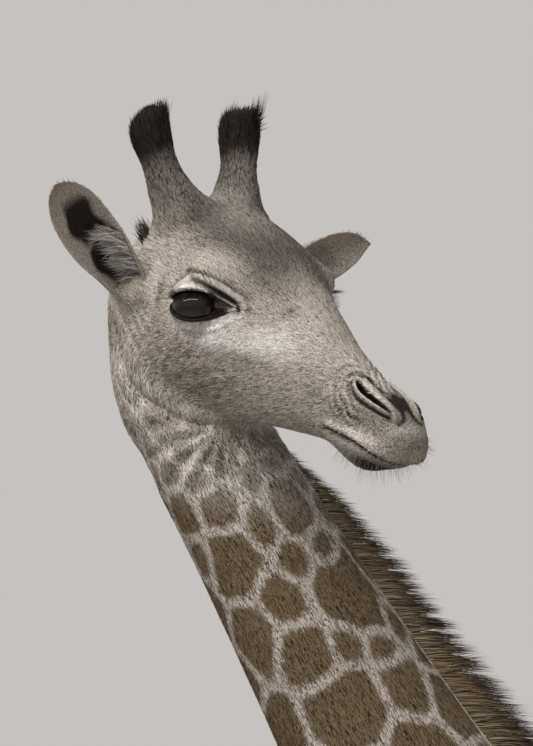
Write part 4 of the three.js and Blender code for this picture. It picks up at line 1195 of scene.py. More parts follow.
FACE_TONES = [  # ahead, side, up of the middle; reach ahead, side, up; paler (+) or darker (-)
    (-0.020, 0.000, 0.090, 0.115, 0.085, 0.060, -0.40),  # grey brown forehead
    (0.025, 0.000, 0.070, 0.065, 0.075, 0.050, -0.40),  # its dark middle
    (-0.005, 0.058, 0.074, 0.055, 0.035, 0.035, -0.24),  # and wings over the eyes
    (-0.045, 0.074, 0.078, 0.045, 0.030, 0.036, -0.30),  # and behind them
    (0.060, 0.055, 0.045, 0.040, 0.035, 0.028, -0.36),  # its tips towards the nose
    (-0.085, 0.000, 0.110, 0.060, 0.050, 0.060, -0.15),  # between the horns
    (-0.085, 0.064, 0.095, 0.040, 0.030, 0.036, -0.30),  # before the foot of each horn
    # Painted light and shade of a fold at the temple: pale on the fold, dark in the groove before it.
    (-0.112, 0.097, -0.008, 0.010, 0.030, 0.030, 0.45),  # pale fold of the temple
    (-0.097, 0.097, -0.014, 0.005, 0.030, 0.026, -0.50),  # and the groove before it
    (-0.010, 0.080, 0.045, 0.045, 0.020, 0.016, 0.25),  # pale ridge over the eye
    (0.015, 0.100, -0.048, 0.050, 0.050, 0.020, 0.75),  # pale under the eye
    (0.095, 0.060, -0.032, 0.050, 0.040, 0.026, 0.55),  # pale before the eye
    (-0.040, 0.095, -0.100, 0.060, 0.060, 0.040, -0.12),  # brown jowl
    (0.170, 0.040, -0.060, 0.060, 0.050, 0.040, -0.22),  # side of the nose
    (0.287, 0.000, -0.056, 0.019, 0.011, 0.020, -1.40),  # between the nostrils
    (0.312, 0.010, -0.088, 0.020, 0.030, 0.007, 0.50),  # pale band under them
    (0.305, 0.030, -0.090, 0.060, 0.060, 0.036, -0.48),  # muzzle
    (0.245, 0.050, -0.090, 0.045, 0.035, 0.026, -0.38),  # side of the muzzle
    (0.262, 0.050, -0.108, 0.048, 0.030, 0.009, 0.75),  # pale upper lip
    (0.284, 0.030, -0.150, 0.036, 0.050, 0.013, -1.30),  # dark lower lip
    (0.235, 0.020, -0.150, 0.045, 0.050, 0.016, -0.20),  # chin
    (0.170, 0.000, 0.000, 0.080, 0.040, 0.040, -0.16),  # bridge of the nose
    (0.101, 0.048, 0.015, 0.006, 0.010, 0.006, -0.70),  # a dark dot before the eye
]


def eyelid_marks(p):
    """Tone and bareness round the eyes: pale lids whose creases are painted dark, as shade, and whose fold
    between them is painted pale, as light, black wet rims, a thin bright line painted under the ball as the
    glint of its tears, and a brown front corner."""
    tone, bare = np.zeros(len(p)), np.zeros(len(p))
    for opening in eye_openings.values():
        d, angle, out = rim_distance(opening, almond, p)
        here = (d < 0.05) & (out > -0.03)
        over, under = ease(-0.1, 0.3, np.sin(angle)), ease(-0.1, 0.3, -np.sin(angle))
        front = ease(-0.5, 0.6, np.cos(angle))
        # Painted shade and light on the upper lid: its creases are painted dark and the fold between them
        # pale.
        t = over * ridges(d, (1.1 * (1 - front), 0.0045, 0.0045), (0.7 * front, 0.0018, 0.0013),
                          (-1.5 * front, 0.0082, 0.0038), (0.60, 0.0175, 0.0040), (-0.45, 0.0240, 0.0024))
        t = t + under * (-1.6 * ease(0.0052, 0.0032, d) + 0.8 * bell((d - 0.013) / 0.007))
        corner = ease(0.35, 0.85, np.cos(angle)) * ease(0.0015, -0.001, d)
        # Painted highlight: a thin bright line under the ball, the glint of light on its wet tears.
        tear_glint = under * bell((d - 0.0006) / 0.0012) * ease(0.95, 0.6, abs(np.cos(angle)))
        t = t - 1.6 * ease(0.0006, -0.0004, d) * (1 - 0.55 * corner) + 0.9 * tear_glint
        tone = tone + np.where(here, t, 0)
        rim = under * ease(0.0058, 0.0040, d) + ease(0.001, 0, d)
        bare = np.maximum(bare, np.where(here, rim * (1 - 0.85 * corner) * (1 - 0.6 * tear_glint), 0))
    return tone, bare


def nose_and_lip_marks(p):
    """Tone and bareness of the nostrils, their raised edges painted paler, as light, and the creases beside
    them darker, as shade: a pale lower edge over a dark crease and a paler upper wing under a darker crease;
    and of the parting lips.
    """
    tone, bare = np.zeros(len(p)), np.zeros(len(p))
    for opening in nostril_openings.values():
        d, angle, out = rim_distance(opening, slit, p)
        here = abs(out) < 0.035
        over, under = ease(-0.25, 0.35, np.sin(angle)), ease(-0.1, 0.3, -np.sin(angle))
        # Painted light on the nostrils' raised edges and painted shade in the creases beside them.
        t = over * ridges(d, (0.20, 0.0060, 0.0050), (-0.70, 0.0165, 0.0030))
        t = t + under * ridges(d, (0.80, 0.0018, 0.0018), (-0.90, 0.0068, 0.0032))
        tone = tone + np.where(here, t - 1.9 * ease(0.0005, -0.002, d), 0)
        bare = np.maximum(bare, np.where(here, ease(0.003, 0.0, d), 0))
    ahead, _, up = head_measures(p).T
    lips = abs(up - mouth_line(ahead)) + 0.02 * (ahead < MOUTH_CORNER)
    return tone - 1.2 * bell(lips / 0.0024), np.maximum(bare, ease(0.003, 0.001, lips))


def ear_tone(name, points):
    """The tone of an ear's leaf: dark in two hollows of the inside, which a pale bar parts; the right ear's
    hollows are painted much darker than the left's, as shade.
    """
    t, s, inner = ear_measures(name, points)
    wide = s - 0.10 * np.sin(t * 22)
    parted = 1 - 0.75 * bell((t - 0.50 + 0.06 * s) / 0.022)
    hollow = parted * ease(0.12, 0.26, t) * ease(0.86, 0.74, t)
    hollow = hollow * ease(-0.62, -0.36, wide) * ease(0.50, 0.34, wide)
    # Painted shade: the right ear's hollows are darkened far more than the left's.
    inside = 0.02 - (1.15 if name == "right" else 0.3) * hollow - 0.22 * ease(0.85, 1.0, t)
    return np.where(inner, inside, -0.12)


def markings(points, leaf):
    """Per point: depth inside a patch, strength of the patches, paler or darker tone, and bareness. Leaf
    says which points are on an ear's leaf."""
    strength = np.ones(len(points))
    tone, bare = np.zeros(len(points)), np.zeros(len(points))
    high = points[:, 2] > UPPER_FROM
    p, leaf = points[high], leaf[high]
    part = upper_shares(p)
    ahead, left, up = head_measures(p).T
    off_neck = ease(0.25, 0.75, 1 - part["neck"])
    face = np.zeros(len(p))
    for a, s, u, ra, rs, ru, amount in FACE_TONES:
        face = face + amount * bell((ahead - a) / ra) * bell((abs(left) - s) / rs) * bell((up - u) / ru)
    for name, side in SIDES.items():
        t = up_horn(side, p)
        face = face + part[f"horn_{name}"] * (-0.60 - 0.30 * ease(0.05, 0.45, t) - 0.50 * ease(0.45, 0.72, t))
    for name, side in SIDES.items():  # an ear's leaf has only its own tone
        near = left * side > 0
        on_ear = np.where(leaf, 1.0 * near, part[f"ear_{name}"])
        face = np.where(leaf & near, 0, face) + on_ear * ear_tone(name, p)
    # Painted shade and light of the slack skin: the grooves of the throat folds, the crease behind the jaw,
    # the wrinkles round the nostrils and the pleats at the ears' roots are painted darker, as shade, and the
    # tops of the folds a little paler, as light.
    face = face + np.where(leaf, 0, np.array([0.40, 1.10, 0.50, 0.60]) @ np.minimum(slack(p), 0.4))
    eye_tone, eye_bare = eyelid_marks(p)
    nose_tone, nose_bare = nose_and_lip_marks(p)
    # Painted light: the neck just under the jaw, where the head casts its shadow, is painted paler.
    throat = ease(-0.10, -0.15, up) * ease(-0.32, -0.24, up) * ease(0.16, 0.02, ahead)
    tone[high] = face * np.where(leaf, 1, off_neck) + eye_tone + nose_tone + 0.25 * throat * (1 - off_neck)
    bare[high] = np.maximum(eye_bare, nose_bare)
    place, angle = spine_measures(p)
    beside = np.degrees(angle) - mane_twist(place)
    ridge = bell((abs(beside) - 9.5) / 2.2) * ease(spine.last, SKULL_BASE, place) * (1 - off_neck)
    tone[high] += 0.9 * ridge  # a pale line beside the mane's root
    strength[high] = (1 - off_neck) * (0.45 + 0.55 * ease(-0.10, -0.24, up)) + 0.80 * off_neck * jowl(p)
    strength[high] *= 1 - 0.8 * ridge
    z = points[:, 2]
    belly = ease(2.0, 1.72, z) * (z > 1.5) * ease(0.26, 0.12, abs(points[:, 0] - SHIFT[0]))
    strength = strength * (1 - 0.6 * belly) * np.where(z < 1.0, 0.75 + 0.25 * ease(0.3, 1.0, z), 1)
    return patch_depth(points), strength, tone + 0.3 * belly, bare


def groove_lips(points, normals):
    """The parting of the lips: 5 mm deep, a full upper lip over it and a drawn-in lower lip under it."""
    ahead, _, up = head_measures(points).T
    over = up - mouth_line(ahead)
    here = ease(MOUTH_CORNER - 0.004, MOUTH_CORNER + 0.02, ahead) * (points[:, 2] > UPPER_FROM)
    push = ridges(over, (-0.0050, 0, 0.0018), (0.0024, 0.0075, 0.0060), (-0.0022, -0.0060, 0.0050))
    corner = -0.0016 * bell((ahead - MOUTH_CORNER + 0.004) / 0.003) * bell(over / 0.012)
    return points + normals * (push * here + corner * (points[:, 2] > UPPER_FROM))[:, None]


JAW_LINE = np.array([[-0.190, -0.085], [-0.177, -0.105], [-0.162, -0.128], [-0.142, -0.151], [-0.096, -0.170],
                     [-0.053, -0.179], [-0.012, -0.181], [0.010, -0.186]])  # ahead and up, behind the jaw
jaw_steps = np.linspace(0, len(JAW_LINE) - 1, 90)
jaw_line = np.stack([smooth_curve(range(len(JAW_LINE)), column)(jaw_steps) for column in JAW_LINE.T], -1)


def slack(points):
    """The folds of slack skin, as waves from -1 in a groove to 1 on a fold: arcs fanning down the throat
    from under the jaw, a crease behind the jaw, wrinkles round the nostrils and pleats at the ears' roots."""
    ahead, left, up = head_measures(points).T
    off = points - on_head([-0.008, -0.022, -0.176])
    radius = np.linalg.norm(off, axis=1)
    turn = np.arctan2(off @ np.array([0, 1.0, 0]), -off[:, 2])
    throat = np.cos(15 * turn + 2.5 * np.sin(radius * 26)) * bell((radius - 0.070) / 0.055)
    throat = throat * ease(0, 0.03, radius) * ease(-0.16, -0.185, up)
    gap = np.hypot(ahead[:, None] - jaw_line[:, 0], up[:, None] - jaw_line[:, 1]).min(1)
    jaw = ridges(gap, (-1, 0, 0.0055), (0.2, 0.014, 0.0060)) * ease(0.02, 0.04, abs(left))
    nose, ear = np.zeros(len(points)), np.zeros(len(points))
    for opening in nostril_openings.values():
        x, y, out = opening.measures(points)
        r = np.hypot(x * 0.62, y) + 0.0012 * np.sin(x * 190)
        rings = np.cos(ROUND * r / 0.0078) * bell((r - 0.036) / 0.013) * ease(0.025, -0.01, x)
        nose = nose + rings * (abs(out) < 0.03) * (ahead > 0.15) * ease(0.0, -0.02, up + (ahead - 0.20) * 0.5)
    lips = (ahead - 0.235) * 0.8 - (up + 0.092) * 0.6
    nose = nose + np.cos(ROUND * lips / 0.0074) * bell((ahead - 0.228) / 0.020) * bell((up + 0.090) / 0.022)
    for name in EARS:
        root, _, (along, across, _) = ear_line(name)
        off = points - root
        t, side = off @ along, off @ across
        pleat = np.cos(ROUND * (side + 0.25 * t + 0.002 * np.sin(t * 90)) / 0.0080)
        ear = ear + pleat * bell((t - 0.006) / 0.030) * bell(np.linalg.norm(off, axis=1) / 0.052)
    return throat, jaw, nose, ear


def fold_skin(points, normals):
    """The skin pushed out and in by its folds."""
    high = points[:, 2] > UPPER_FROM
    push = np.zeros(len(points))
    push[high] = np.array([0.0034, 0.0060, 0.0013, 0.0022]) @ np.array(slack(points[high]))
    for side in (-1, 1):  # the horns are broad in front
        root, _, _, (along, _, _) = horn_line(side)
        near = bell(np.linalg.norm(np.cross(points - root, along), axis=1) / 0.045) * high
        waist = bell((up_horn(side, points) - 0.50) / 0.24)
        push = push + 0.006 * near * waist * np.clip(normals @ head_axes[:, 0], 0, 1)
    return points + normals * push[:, None]


crumpled = np.zeros(len(skin), bool)
high = skin[:, 2] > UPPER_FROM
ahead, _, up = head_measures(skin[high]).T
folds = np.abs(np.array(slack(skin[high]))).max(0)
crumpled[high] = (folds > 0.4) | (ahead > 0.23) | (bell(ahead / 0.09) * bell((up + 0.01) / 0.07) > 0.6)
crumpled &= ~on_leaf
skin, skin_faces = refine(skin, skin_faces, crumpled, 0.0046)
on_leaf = np.append(on_leaf, np.zeros(len(skin) - len(on_leaf), bool))
normals = point_normals(skin, skin_faces)
skin = np.where(on_leaf[:, None], skin, fold_skin(groove_lips(skin, normals), normals))
normals = point_normals(skin, skin_faces)


def add_values(mesh, **values):
    """Point attributes from arrays: numbers, or vectors if the array has three columns."""
    for name, array in values.items():
        kind = "FLOAT_VECTOR" if array.ndim == 2 else "FLOAT"
        spot = mesh.attributes.new(name, kind, "POINT")
        numbers = np.ascontiguousarray(array, np.float32).ravel()
        spot.data.foreach_set("vector" if array.ndim == 2 else "value", numbers)


def add_sheet(mesh, places):
    """The UV map named OFBake, from a place on the sheet for each corner of each face."""
    layer = mesh.uv_layers.new(name="OFBake")
    layer.data.foreach_set("uv", places.ravel().astype(np.float32))


def combed(points):
    """Object places drawn together to about a half along the lie of the hair, so that a noise read there
    is streaked with it: measures of the head, of neck and trunk, or of the legs, whichever it is on."""
    place, angle = spine_measures(points)
    middle = spine_frame(place)[0]
    reach = np.linalg.norm(points - middle, axis=1)
    found = np.stack([reach * np.cos(angle), reach * np.sin(angle), 0.4 * place], -1)
    high = points[:, 2] > UPPER_FROM
    part = upper_shares(points[high])
    face = head_measures(points[high]) * [0.55, 1, 1] + [0, 2, 2]
    for name, side in SIDES.items():
        for kind, (root, *_, axes), away in (("horn", horn_line(side), 4), ("ear", ear_line(name), 6)):
            streaked = (points[high] - root) @ np.array(axes).T * [0.4, 1, 1] + away
            face = np.where((part[f"{kind}_{name}"] > 0.5)[:, None], streaked, face)
    found[high] = np.where((part["neck"] < 0.5)[:, None], face, found[high])
    low = points[:, 2] < 1.6
    found[low] = points[low] * [1, 1, 0.4]
    return found


def unwrap(points):
    """A place on a flat sheet for each point of the hide, within 0 to 1: one strip for each part, down it
    the distance along the part and across it the angle round it."""
    place, angle = spine_measures(points)
    found = np.stack([0.02 + 0.30 * (angle / ROUND + 0.5), 0.02 + 0.96 * place / spine.last], -1)
    high = points[:, 2] > UPPER_FROM
    p = points[high]
    part = upper_shares(p)
    ahead, left, up = head_measures(p).T
    turn = np.arctan2(left, up + 0.04) / ROUND + 0.5
    face = np.stack([0.36 + 0.28 * turn, 0.04 + 0.9 * (ahead + 0.16) / 0.52], -1)
    spot = face
    for k, (name, side) in enumerate(SIDES.items()):
        root, _, _, (along, across, out) = horn_line(side)
        off = p - root
        turn = np.arctan2(off @ across, off @ out) / ROUND + 0.5
        strip = np.stack([0.68 + 0.06 * turn + 0.07 * k, 0.1 + off @ along * 1.6], -1)
        spot = np.where((part[f"horn_{name}"] > 0.5)[:, None], strip, spot)
        root, _, (along, across, _) = ear_line(name)
        off = p - root
        strip = np.stack([0.88 + 0.35 * off @ across, 0.06 + 0.45 * k + 1.4 * off @ along], -1)
        spot = np.where((part[f"ear_{name}"] > 0.5)[:, None], strip, spot)
    found[high] = np.where((part["neck"] > 0.5)[:, None], found[high], spot)
    low = points[:, 2] < 1.6
    for k, name in enumerate(LEGS):
        middle = leg_middle(name, points[:, 2])
        off = points[:, :2] - middle[:, :2]
        mine = low & (np.hypot(off[:, 0], off[:, 1]) < 0.26)
        turn = np.arctan2(off[:, 1], off[:, 0]) / ROUND + 0.5
        strip = np.stack([0.68 + 0.035 * (2 * k + turn), 0.55 + 0.28 * points[:, 2]], -1)
        found[mine] = strip[mine]
    return np.clip(found, 0.002, 0.998)


GROUND = srgb(163, 154, 144)  # the pale net
PATCH = srgb(97, 82, 62)
DARK_HAIR = srgb(34, 28, 24)
PALE_HAIR = srgb(212, 208, 203)
BARE_SKIN = srgb(34, 28, 25)

COAT_VALUES = ("Depth", "Strength", "Tone", "Bare", "Hair", "Tip")
coat_look = bpy.data.node_groups.new("coat look", "ShaderNodeTree")
for label in COAT_VALUES:
    coat_look.interface.new_socket(label, in_out="INPUT", socket_type="NodeSocketFloat")
coat_look.interface.new_socket("Place", in_out="INPUT", socket_type="NodeSocketVector")
coat_look.interface.new_socket("Colour", in_out="OUTPUT", socket_type="NodeSocketColor")
coat_look.interface.new_socket("Height", in_out="OUTPUT", socket_type="NodeSocketFloat")
given = coat_look.nodes.new("NodeGroupInput").outputs
sent = coat_look.nodes.new("NodeGroupOutput").inputs


def maths(tree, operation, a, b=0.0, c=0.0, clamp=False):
    """One sum of numbers or outputs, as an output."""
    return add_node(tree, "ShaderNodeMath", dict(operation=operation, use_clamp=clamp),
                    in_0=a, in_1=b, in_2=c).outputs[0]


def ramp(tree, value, low, high, to_low=0.0, to_high=1.0):
    """A smooth step of a value from low to high, as an output."""
    return add_node(tree, "ShaderNodeMapRange", dict(interpolation_type="SMOOTHSTEP"), Value=value,
                    From_Min=low, From_Max=high, To_Min=to_low, To_Max=to_high).outputs[0]


def blend(tree, share, a, b, way="MIX"):
    """Two colours mixed by a share, as an output."""
    made = add_node(tree, "ShaderNodeMix", dict(data_type="RGBA", blend_type=way), in_0=share, in_6=a, in_7=b)
    return made.outputs[2]


def noise(tree, place, scale, detail=3.0, rough=0.55):
    """A noise of 0 to 1 about 0.5, as an output."""
    return add_node(tree, "ShaderNodeTexNoise", Vector=place, Scale=scale, Detail=detail,
                    Roughness=rough).outputs[0]


def about(tree, value, middle, gain):
    """How far a value lies over or under its middle, times a gain."""
    return maths(tree, "MULTIPLY_ADD", value, gain, -middle * gain)


def read_value(tree, name, output="Fac"):
    """What a mesh keeps at its points under a name, as an output."""
    return add_node(tree, "ShaderNodeAttribute", dict(attribute_name=name)).outputs[output]


hair_streaks = noise(coat_look, given["Place"], 400, 4.0, 0.6)
speckle = noise(coat_look, given["Place"], 640, 2.0, 0.6)
drift = noise(coat_look, given["Place"], 26, 3.0)
edge = maths(coat_look, "ADD", about(coat_look, hair_streaks, 0.5, 0.018), given["Depth"])
edge = maths(coat_look, "ADD", about(coat_look, given["Hair"], 0.5, 0.005), edge)
in_patch = maths(coat_look, "MULTIPLY", ramp(coat_look, edge, -0.0034, 0.0036), given["Strength"])
stops = about(coat_look, hair_streaks, 0.5, 4.6)  # how much lighter or darker, in doublings of the light
# Painted shade: each hair is darker at its root and paler at its tip (the Tip gain), as the shade that falls
# between hairs.
for value, middle, gain in ((speckle, 0.5, 16.0), (drift, 0.5, 1.0), (given["Hair"], 0.5, 3.4),
                            (given["Tip"], 0.35, 1.2)):
    stops = maths(coat_look, "ADD", stops, about(coat_look, value, middle, gain))
grain = about(coat_look, given["Tone"], 0.0, -0.7)  # the pale short hair of the face is more even
grain = maths(coat_look, "ADD", maths(coat_look, "MULTIPLY_ADD", given["Strength"], 0.9, 0.5), grain)
grain = ramp(coat_look, grain, 0.2, 1.2, 0.35, 1.0)
stops = maths(coat_look, "MINIMUM", maths(coat_look, "MULTIPLY", stops, grain), 0.50)  # more dark than light
light = maths(coat_look, "POWER", 2.0, stops)
colour = blend(coat_look, in_patch, GROUND, PATCH)
colour = blend(coat_look, maths(coat_look, "MULTIPLY", given["Tone"], 0.9, clamp=True), colour, PALE_HAIR)
colour = blend(coat_look, maths(coat_look, "MULTIPLY", given["Tone"], -0.95, clamp=True), colour, DARK_HAIR)
lit = add_node(coat_look, "ShaderNodeVectorMath", dict(operation="SCALE"), in_0=colour, Scale=light)
colour = blend(coat_look, given["Bare"], lit.outputs[0], BARE_SKIN)
coat_look.links.new(colour, sent["Colour"])
coat_look.links.new(maths(coat_look, "MULTIPLY_ADD", speckle, 0.4, hair_streaks), sent["Height"])


def coat_paint(name, bump):
    """A material that reads the markings from its points and colours them by the coat look."""
    paint, tree, shader = new_material(name)
    look = add_node(tree, "ShaderNodeGroup", dict(node_tree=coat_look))
    for label in COAT_VALUES:
        tree.links.new(read_value(tree, label.lower()), look.inputs[label])
    tree.links.new(read_value(tree, "place", "Vector"), look.inputs["Place"])
    set_inputs(tree, shader, Base_Color=look.outputs["Colour"], Roughness=0.78, Specular_IOR_Level=0.25)
    if bump:
        rise = add_node(tree, "ShaderNodeBump", Strength=0.55, Distance=0.0016, Height=look.outputs["Height"])
        set_inputs(tree, shader, Normal=rise.outputs[0])
    return paint


skin_paint = coat_paint("short coat", bump=True)
hide = grid_mesh("skin", skin, skin_faces)
skin_depth, skin_strength, skin_tone, skin_bare = markings(skin, on_leaf)
add_values(hide.data, depth=skin_depth, strength=skin_strength, tone=skin_tone, bare=skin_bare,
           hair=np.full(len(skin), 0.5), tip=np.full(len(skin), 0.4), place=combed(skin))
add_sheet(hide.data, unwrap(skin)[skin_faces.ravel()])
hide.data.materials.append(skin_paint)
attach(hide, "root")
FLESH = ("trunk", "neck_lower", "neck_upper", "head", "lower_jaw", "ossicone_left", "ossicone_right",
         "ear_left", "ear_right", "foreleg_left", "foreleg_right", "hindleg_left", "hindleg_right", "tail")
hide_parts(*FLESH)

# ---------------------------------------------------------------- the coat
# Short hair over the whole hide, in small pointed tufts that lie with the coat: finest on the face, longer
# on neck and trunk, shaggy and near black on the horn tips. Each tuft is a closed spike of four triangles.
hide_lie = lie_of_coat(skin)
hide_place = combed(skin)
hide_sheet = unwrap(skin)
corner = skin[skin_faces]
hide_area = np.linalg.norm(np.cross(corner[:, 1] - corner[:, 0], corner[:, 2] - corner[:, 0]), axis=1) / 2
high = skin[:, 2] > UPPER_FROM
zone = {name: np.zeros(len(skin)) for name in ("face", "neck", "horn", "ear", "trunk", "leg")}
part = upper_shares(skin[high])
zone["face"][high] = part["head"]
zone["neck"][high] = part["neck"]
zone["horn"][high] = part["horn_right"] + part["horn_left"]
zone["ear"][high] = part["ear_right"] + part["ear_left"]
for label in ("face", "neck", "horn", "ear"):
    zone[label][on_leaf] = label == "ear"
hide_along, _ = spine_measures(skin)
zone["neck"][~high] = ease(2.05, 2.35, skin[~high, 2])
zone["leg"][~high] = ease(1.35, 1.15, skin[~high, 2])
zone["trunk"][~high] = 1 - zone["neck"][~high] - zone["leg"][~high]


def strew(weight, count, chance):
    """Random places on the hide, as many for each bit of area as the weight of its points: the corners of
    each one's triangle and their shares in it, its place and its way out."""
    total = np.cumsum(hide_area * weight[skin_faces].mean(1))
    triangle = np.searchsorted(total, (np.arange(count) + chance.random(count)) / count * total[-1])
    triangle = np.minimum(triangle, len(skin_faces) - 1)
    a, b = np.sqrt(chance.random(count)), chance.random(count)
    corners, part = skin_faces[triangle], np.stack([1 - a, a * (1 - b), a * b], -1)
    return corners, part, spread(skin, corners, part), unit(spread(normals, corners, part))


def spread(values, corners, part):
    """Values of points read at strewn places."""
    if values.ndim == 1:
        return (values[corners] * part).sum(1)
    return np.einsum("ijk,ij->ik", values[corners], part)


def hair_piece(name, paint, slot, roots, out, way, length, width, bend, rings, normal, sheet, **values):
    """One mesh of many closed hairs. A hair is a three-sided spike: at t it lies at root + length*(t*way +
    t*t*bend), as wide as width*(1 - t**1.6) and half as thick, and ends in a point. It is lit by the given
    normal, and is a small patch at its place on the sheet."""
    count = len(roots)
    side = unit(np.cross(way, out))
    top = np.cross(side, way)
    t = np.linspace(0, 1, rings + 1)[:, None]
    line = roots[:, None] + length[:, None, None] * (t * way[:, None] + t * t * bend[:, None])
    shrink = (1 - t[:-1] ** 1.6)[None] * width[:, None, None]
    corners = [line[:, :-1] + (side * s)[:, None] * shrink + (top * u)[:, None] * shrink
               for s, u in ((-0.5, 0), (0.5, 0), (0, 0.5))]
    points = np.concatenate([np.stack(corners, 2).reshape(count, -1, 3), line[:, -1:]], 1)
    each = 3 * rings + 1
    faces = [(0, 1, 2)]
    for k in range(rings - 1):
        for a, b in ((1, 0), (2, 1), (0, 2)):
            low, high = 3 * k + a, 3 * k + b
            faces += [(low, high, high + 3), (low, high + 3, low + 3)]
    end = 3 * (rings - 1)
    faces += [(end + a, end + b, each - 1) for a, b in ((1, 0), (2, 1), (0, 2))]
    faces = np.array(faces)
    whole = (faces[None] + (np.arange(count) * each)[:, None, None]).reshape(-1, 3)
    piece = grid_mesh(name, points.reshape(-1, 3), whole)
    along = np.append(np.repeat(t[:-1, 0], 3), 1.0)
    add_values(piece.data, tip=np.tile(along, count),
               **{key: np.repeat(value, each, 0) for key, value in values.items()})
    patch = np.stack([np.append(np.tile([-1, 1, 0], rings), 0) * 0.0012, along * 0.0026], -1)
    add_sheet(piece.data, (sheet[:, None] + patch[None]).reshape(-1, 2)[whole.ravel()])
    piece.data.normals_split_custom_set_from_vertices(np.repeat(normal, each, 0).astype(np.float32))
    piece.data.materials.append(paint)
    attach(piece, "root")
    return piece


def hide_values(corners, part, names=("place",)):
    """The hide's own values at strewn places, for hair_piece: the place on the sheet and others by name."""
    kept = dict(depth=skin_depth, strength=skin_strength, tone=skin_tone, place=hide_place)
    found = {name: spread(kept[name], corners, part) for name in names}
    return dict(sheet=hide_sheet[corners[:, 0]], **found)


def one_tone(count, tone):
    """Values for hair of one tone, clear of the patches."""
    flat = np.zeros(count)
    return dict(depth=flat - 1, strength=flat, tone=flat + tone, bare=flat)


ROOT_DEPTH = 0.0006  # how deep a hair is rooted
hair_paint = coat_paint("hair", bump=False)
chance = np.random.default_rng(7)


def coat_piece(name, weight, count, length, width, lift, mess=0.18):
    """Tufts over part of the hide. Length and width are in metres, for all or at each point of the hide,
    lift is the sine by which the tufts stand off it, and mess is how far they stray from its lie."""
    length, width = (v + np.zeros(len(skin)) for v in (length, width))
    corners, part, spot, out = strew(weight * (skin_bare < 0.5), count, chance)
    lie = spread(hide_lie, corners, part)
    lie = unit(lie - out * (lie * out).sum(1)[:, None])
    side = np.cross(out, lie)
    stray = chance.normal(size=count) * mess
    way = unit(lie + side * stray[:, None] + out * (lift * chance.uniform(0.6, 1.5, count))[:, None])
    size = chance.uniform(0.7, 1.3, count)
    reach = spread(length, corners, part) * size
    tilt = chance.normal(size=count)[:, None] * 0.32 * side + chance.normal(size=count)[:, None] * 0.28 * lie
    hair_piece(name, hair_paint, "coat", spot - out * ROOT_DEPTH, out, way, reach,
               spread(width, corners, part) * chance.uniform(0.7, 1.3, count), -out * 0.5 * lift, 1,
               normal=unit(out + tilt), hair=chance.random(count), bare=np.zeros(count),
               **hide_values(corners, part, ("depth", "strength", "tone", "place")))


face_ahead, face_left, face_up = head_measures(skin).T
rims = [rim_distance(opening, almond, skin) for opening in eye_openings.values()]
near_eye = np.min([gap + 0.6 * abs(height) for gap, _, height in rims], axis=0)
small = (0.35 + 0.65 * ease(0.0, 0.022, near_eye)) * (1 - 0.55 * ease(0.20, 0.30, face_ahead))
face_length = small * (0.0072 + 0.003 * ease(-0.05, -0.14, face_up) + 0.003 * ease(-0.04, -0.12, face_ahead))
for k in (1, 2):
    coat_piece(f"coat_face_{k}", zone["face"], 43000, face_length, 0.0016 * (0.4 + 0.6 * small), 0.17)
upper_neck = zone["neck"] * ease(2.60, 2.70, hide_along) * (1 + 0.8 * ease(2.8, 3.0, hide_along))
for k in (1, 2):
    coat_piece(f"coat_neck_{k}", upper_neck, 42000, 0.0060, 0.0017, 0.26)
coat_piece("coat_shoulder", zone["neck"] * ease(2.72, 2.60, hide_along), 30000, 0.020, 0.0034, 0.20)
for k in (1, 2):
    coat_piece(f"coat_trunk_{k}", zone["trunk"], 32000, 0.026, 0.0046, 0.17)
leg_size = 0.010 + 0.012 * ease(0.3, 1.2, skin[:, 2])
coat_piece("coat_legs", zone["leg"], 22000, leg_size, leg_size * 0.2, 0.16)
horn_rise = np.zeros(len(skin))
for side in SIDES.values():
    horn_rise = np.where(zone["horn"] * (face_left * side > 0) > 0.5, up_horn(side, skin), horn_rise)
coat_piece("coat_horns", zone["horn"], 26000, 0.0085 + 0.010 * ease(0.5, 0.95, horn_rise), 0.0016, 0.30, 0.3)
coat_piece("coat_ears", zone["ear"], 20000, 0.006, 0.0012, 0.12, 0.2)

# Longer black hair stands up ragged on the horns' tips, in locks that stray each its own way, longest on
# the outer side.
LOCKS = 61
chance = np.random.default_rng(17)
count = 1400
corners, part, spot, out = strew(zone["horn"] * ease(0.80, 0.90, horn_rise), count, chance)
roots = spot - out * 0.002
left = spread(face_left, corners, part)
along = np.where(left[:, None] > 0, horn_line(1)[3][0], horn_line(-1)[3][0])
lock = (roots @ np.array([310.0, 523.0, 17.0])).astype(int) // 7 % LOCKS
lock_way, lock_size = chance.normal(0, 0.30, (LOCKS, 3)), chance.uniform(0.5, 1.25, LOCKS)
outer = ease(-0.015, 0.025, left - 0.075 * np.sign(left))
way = unit(along + 0.35 * out + lock_way[lock] + head_axes[:, 0] * 0.12)
reach = 0.026 * (0.45 + outer) * lock_size[lock] * chance.uniform(0.7, 1.2, count)
hair_piece("horn_locks", hair_paint, "coat", roots, out, way, reach, chance.uniform(0.0010, 0.0018, count),
           out * -0.10 + chance.normal(0, 0.08, (count, 3)), 2, normal=out, hair=chance.random(count),
           **one_tone(count, -1.05), **hide_values(corners, part))

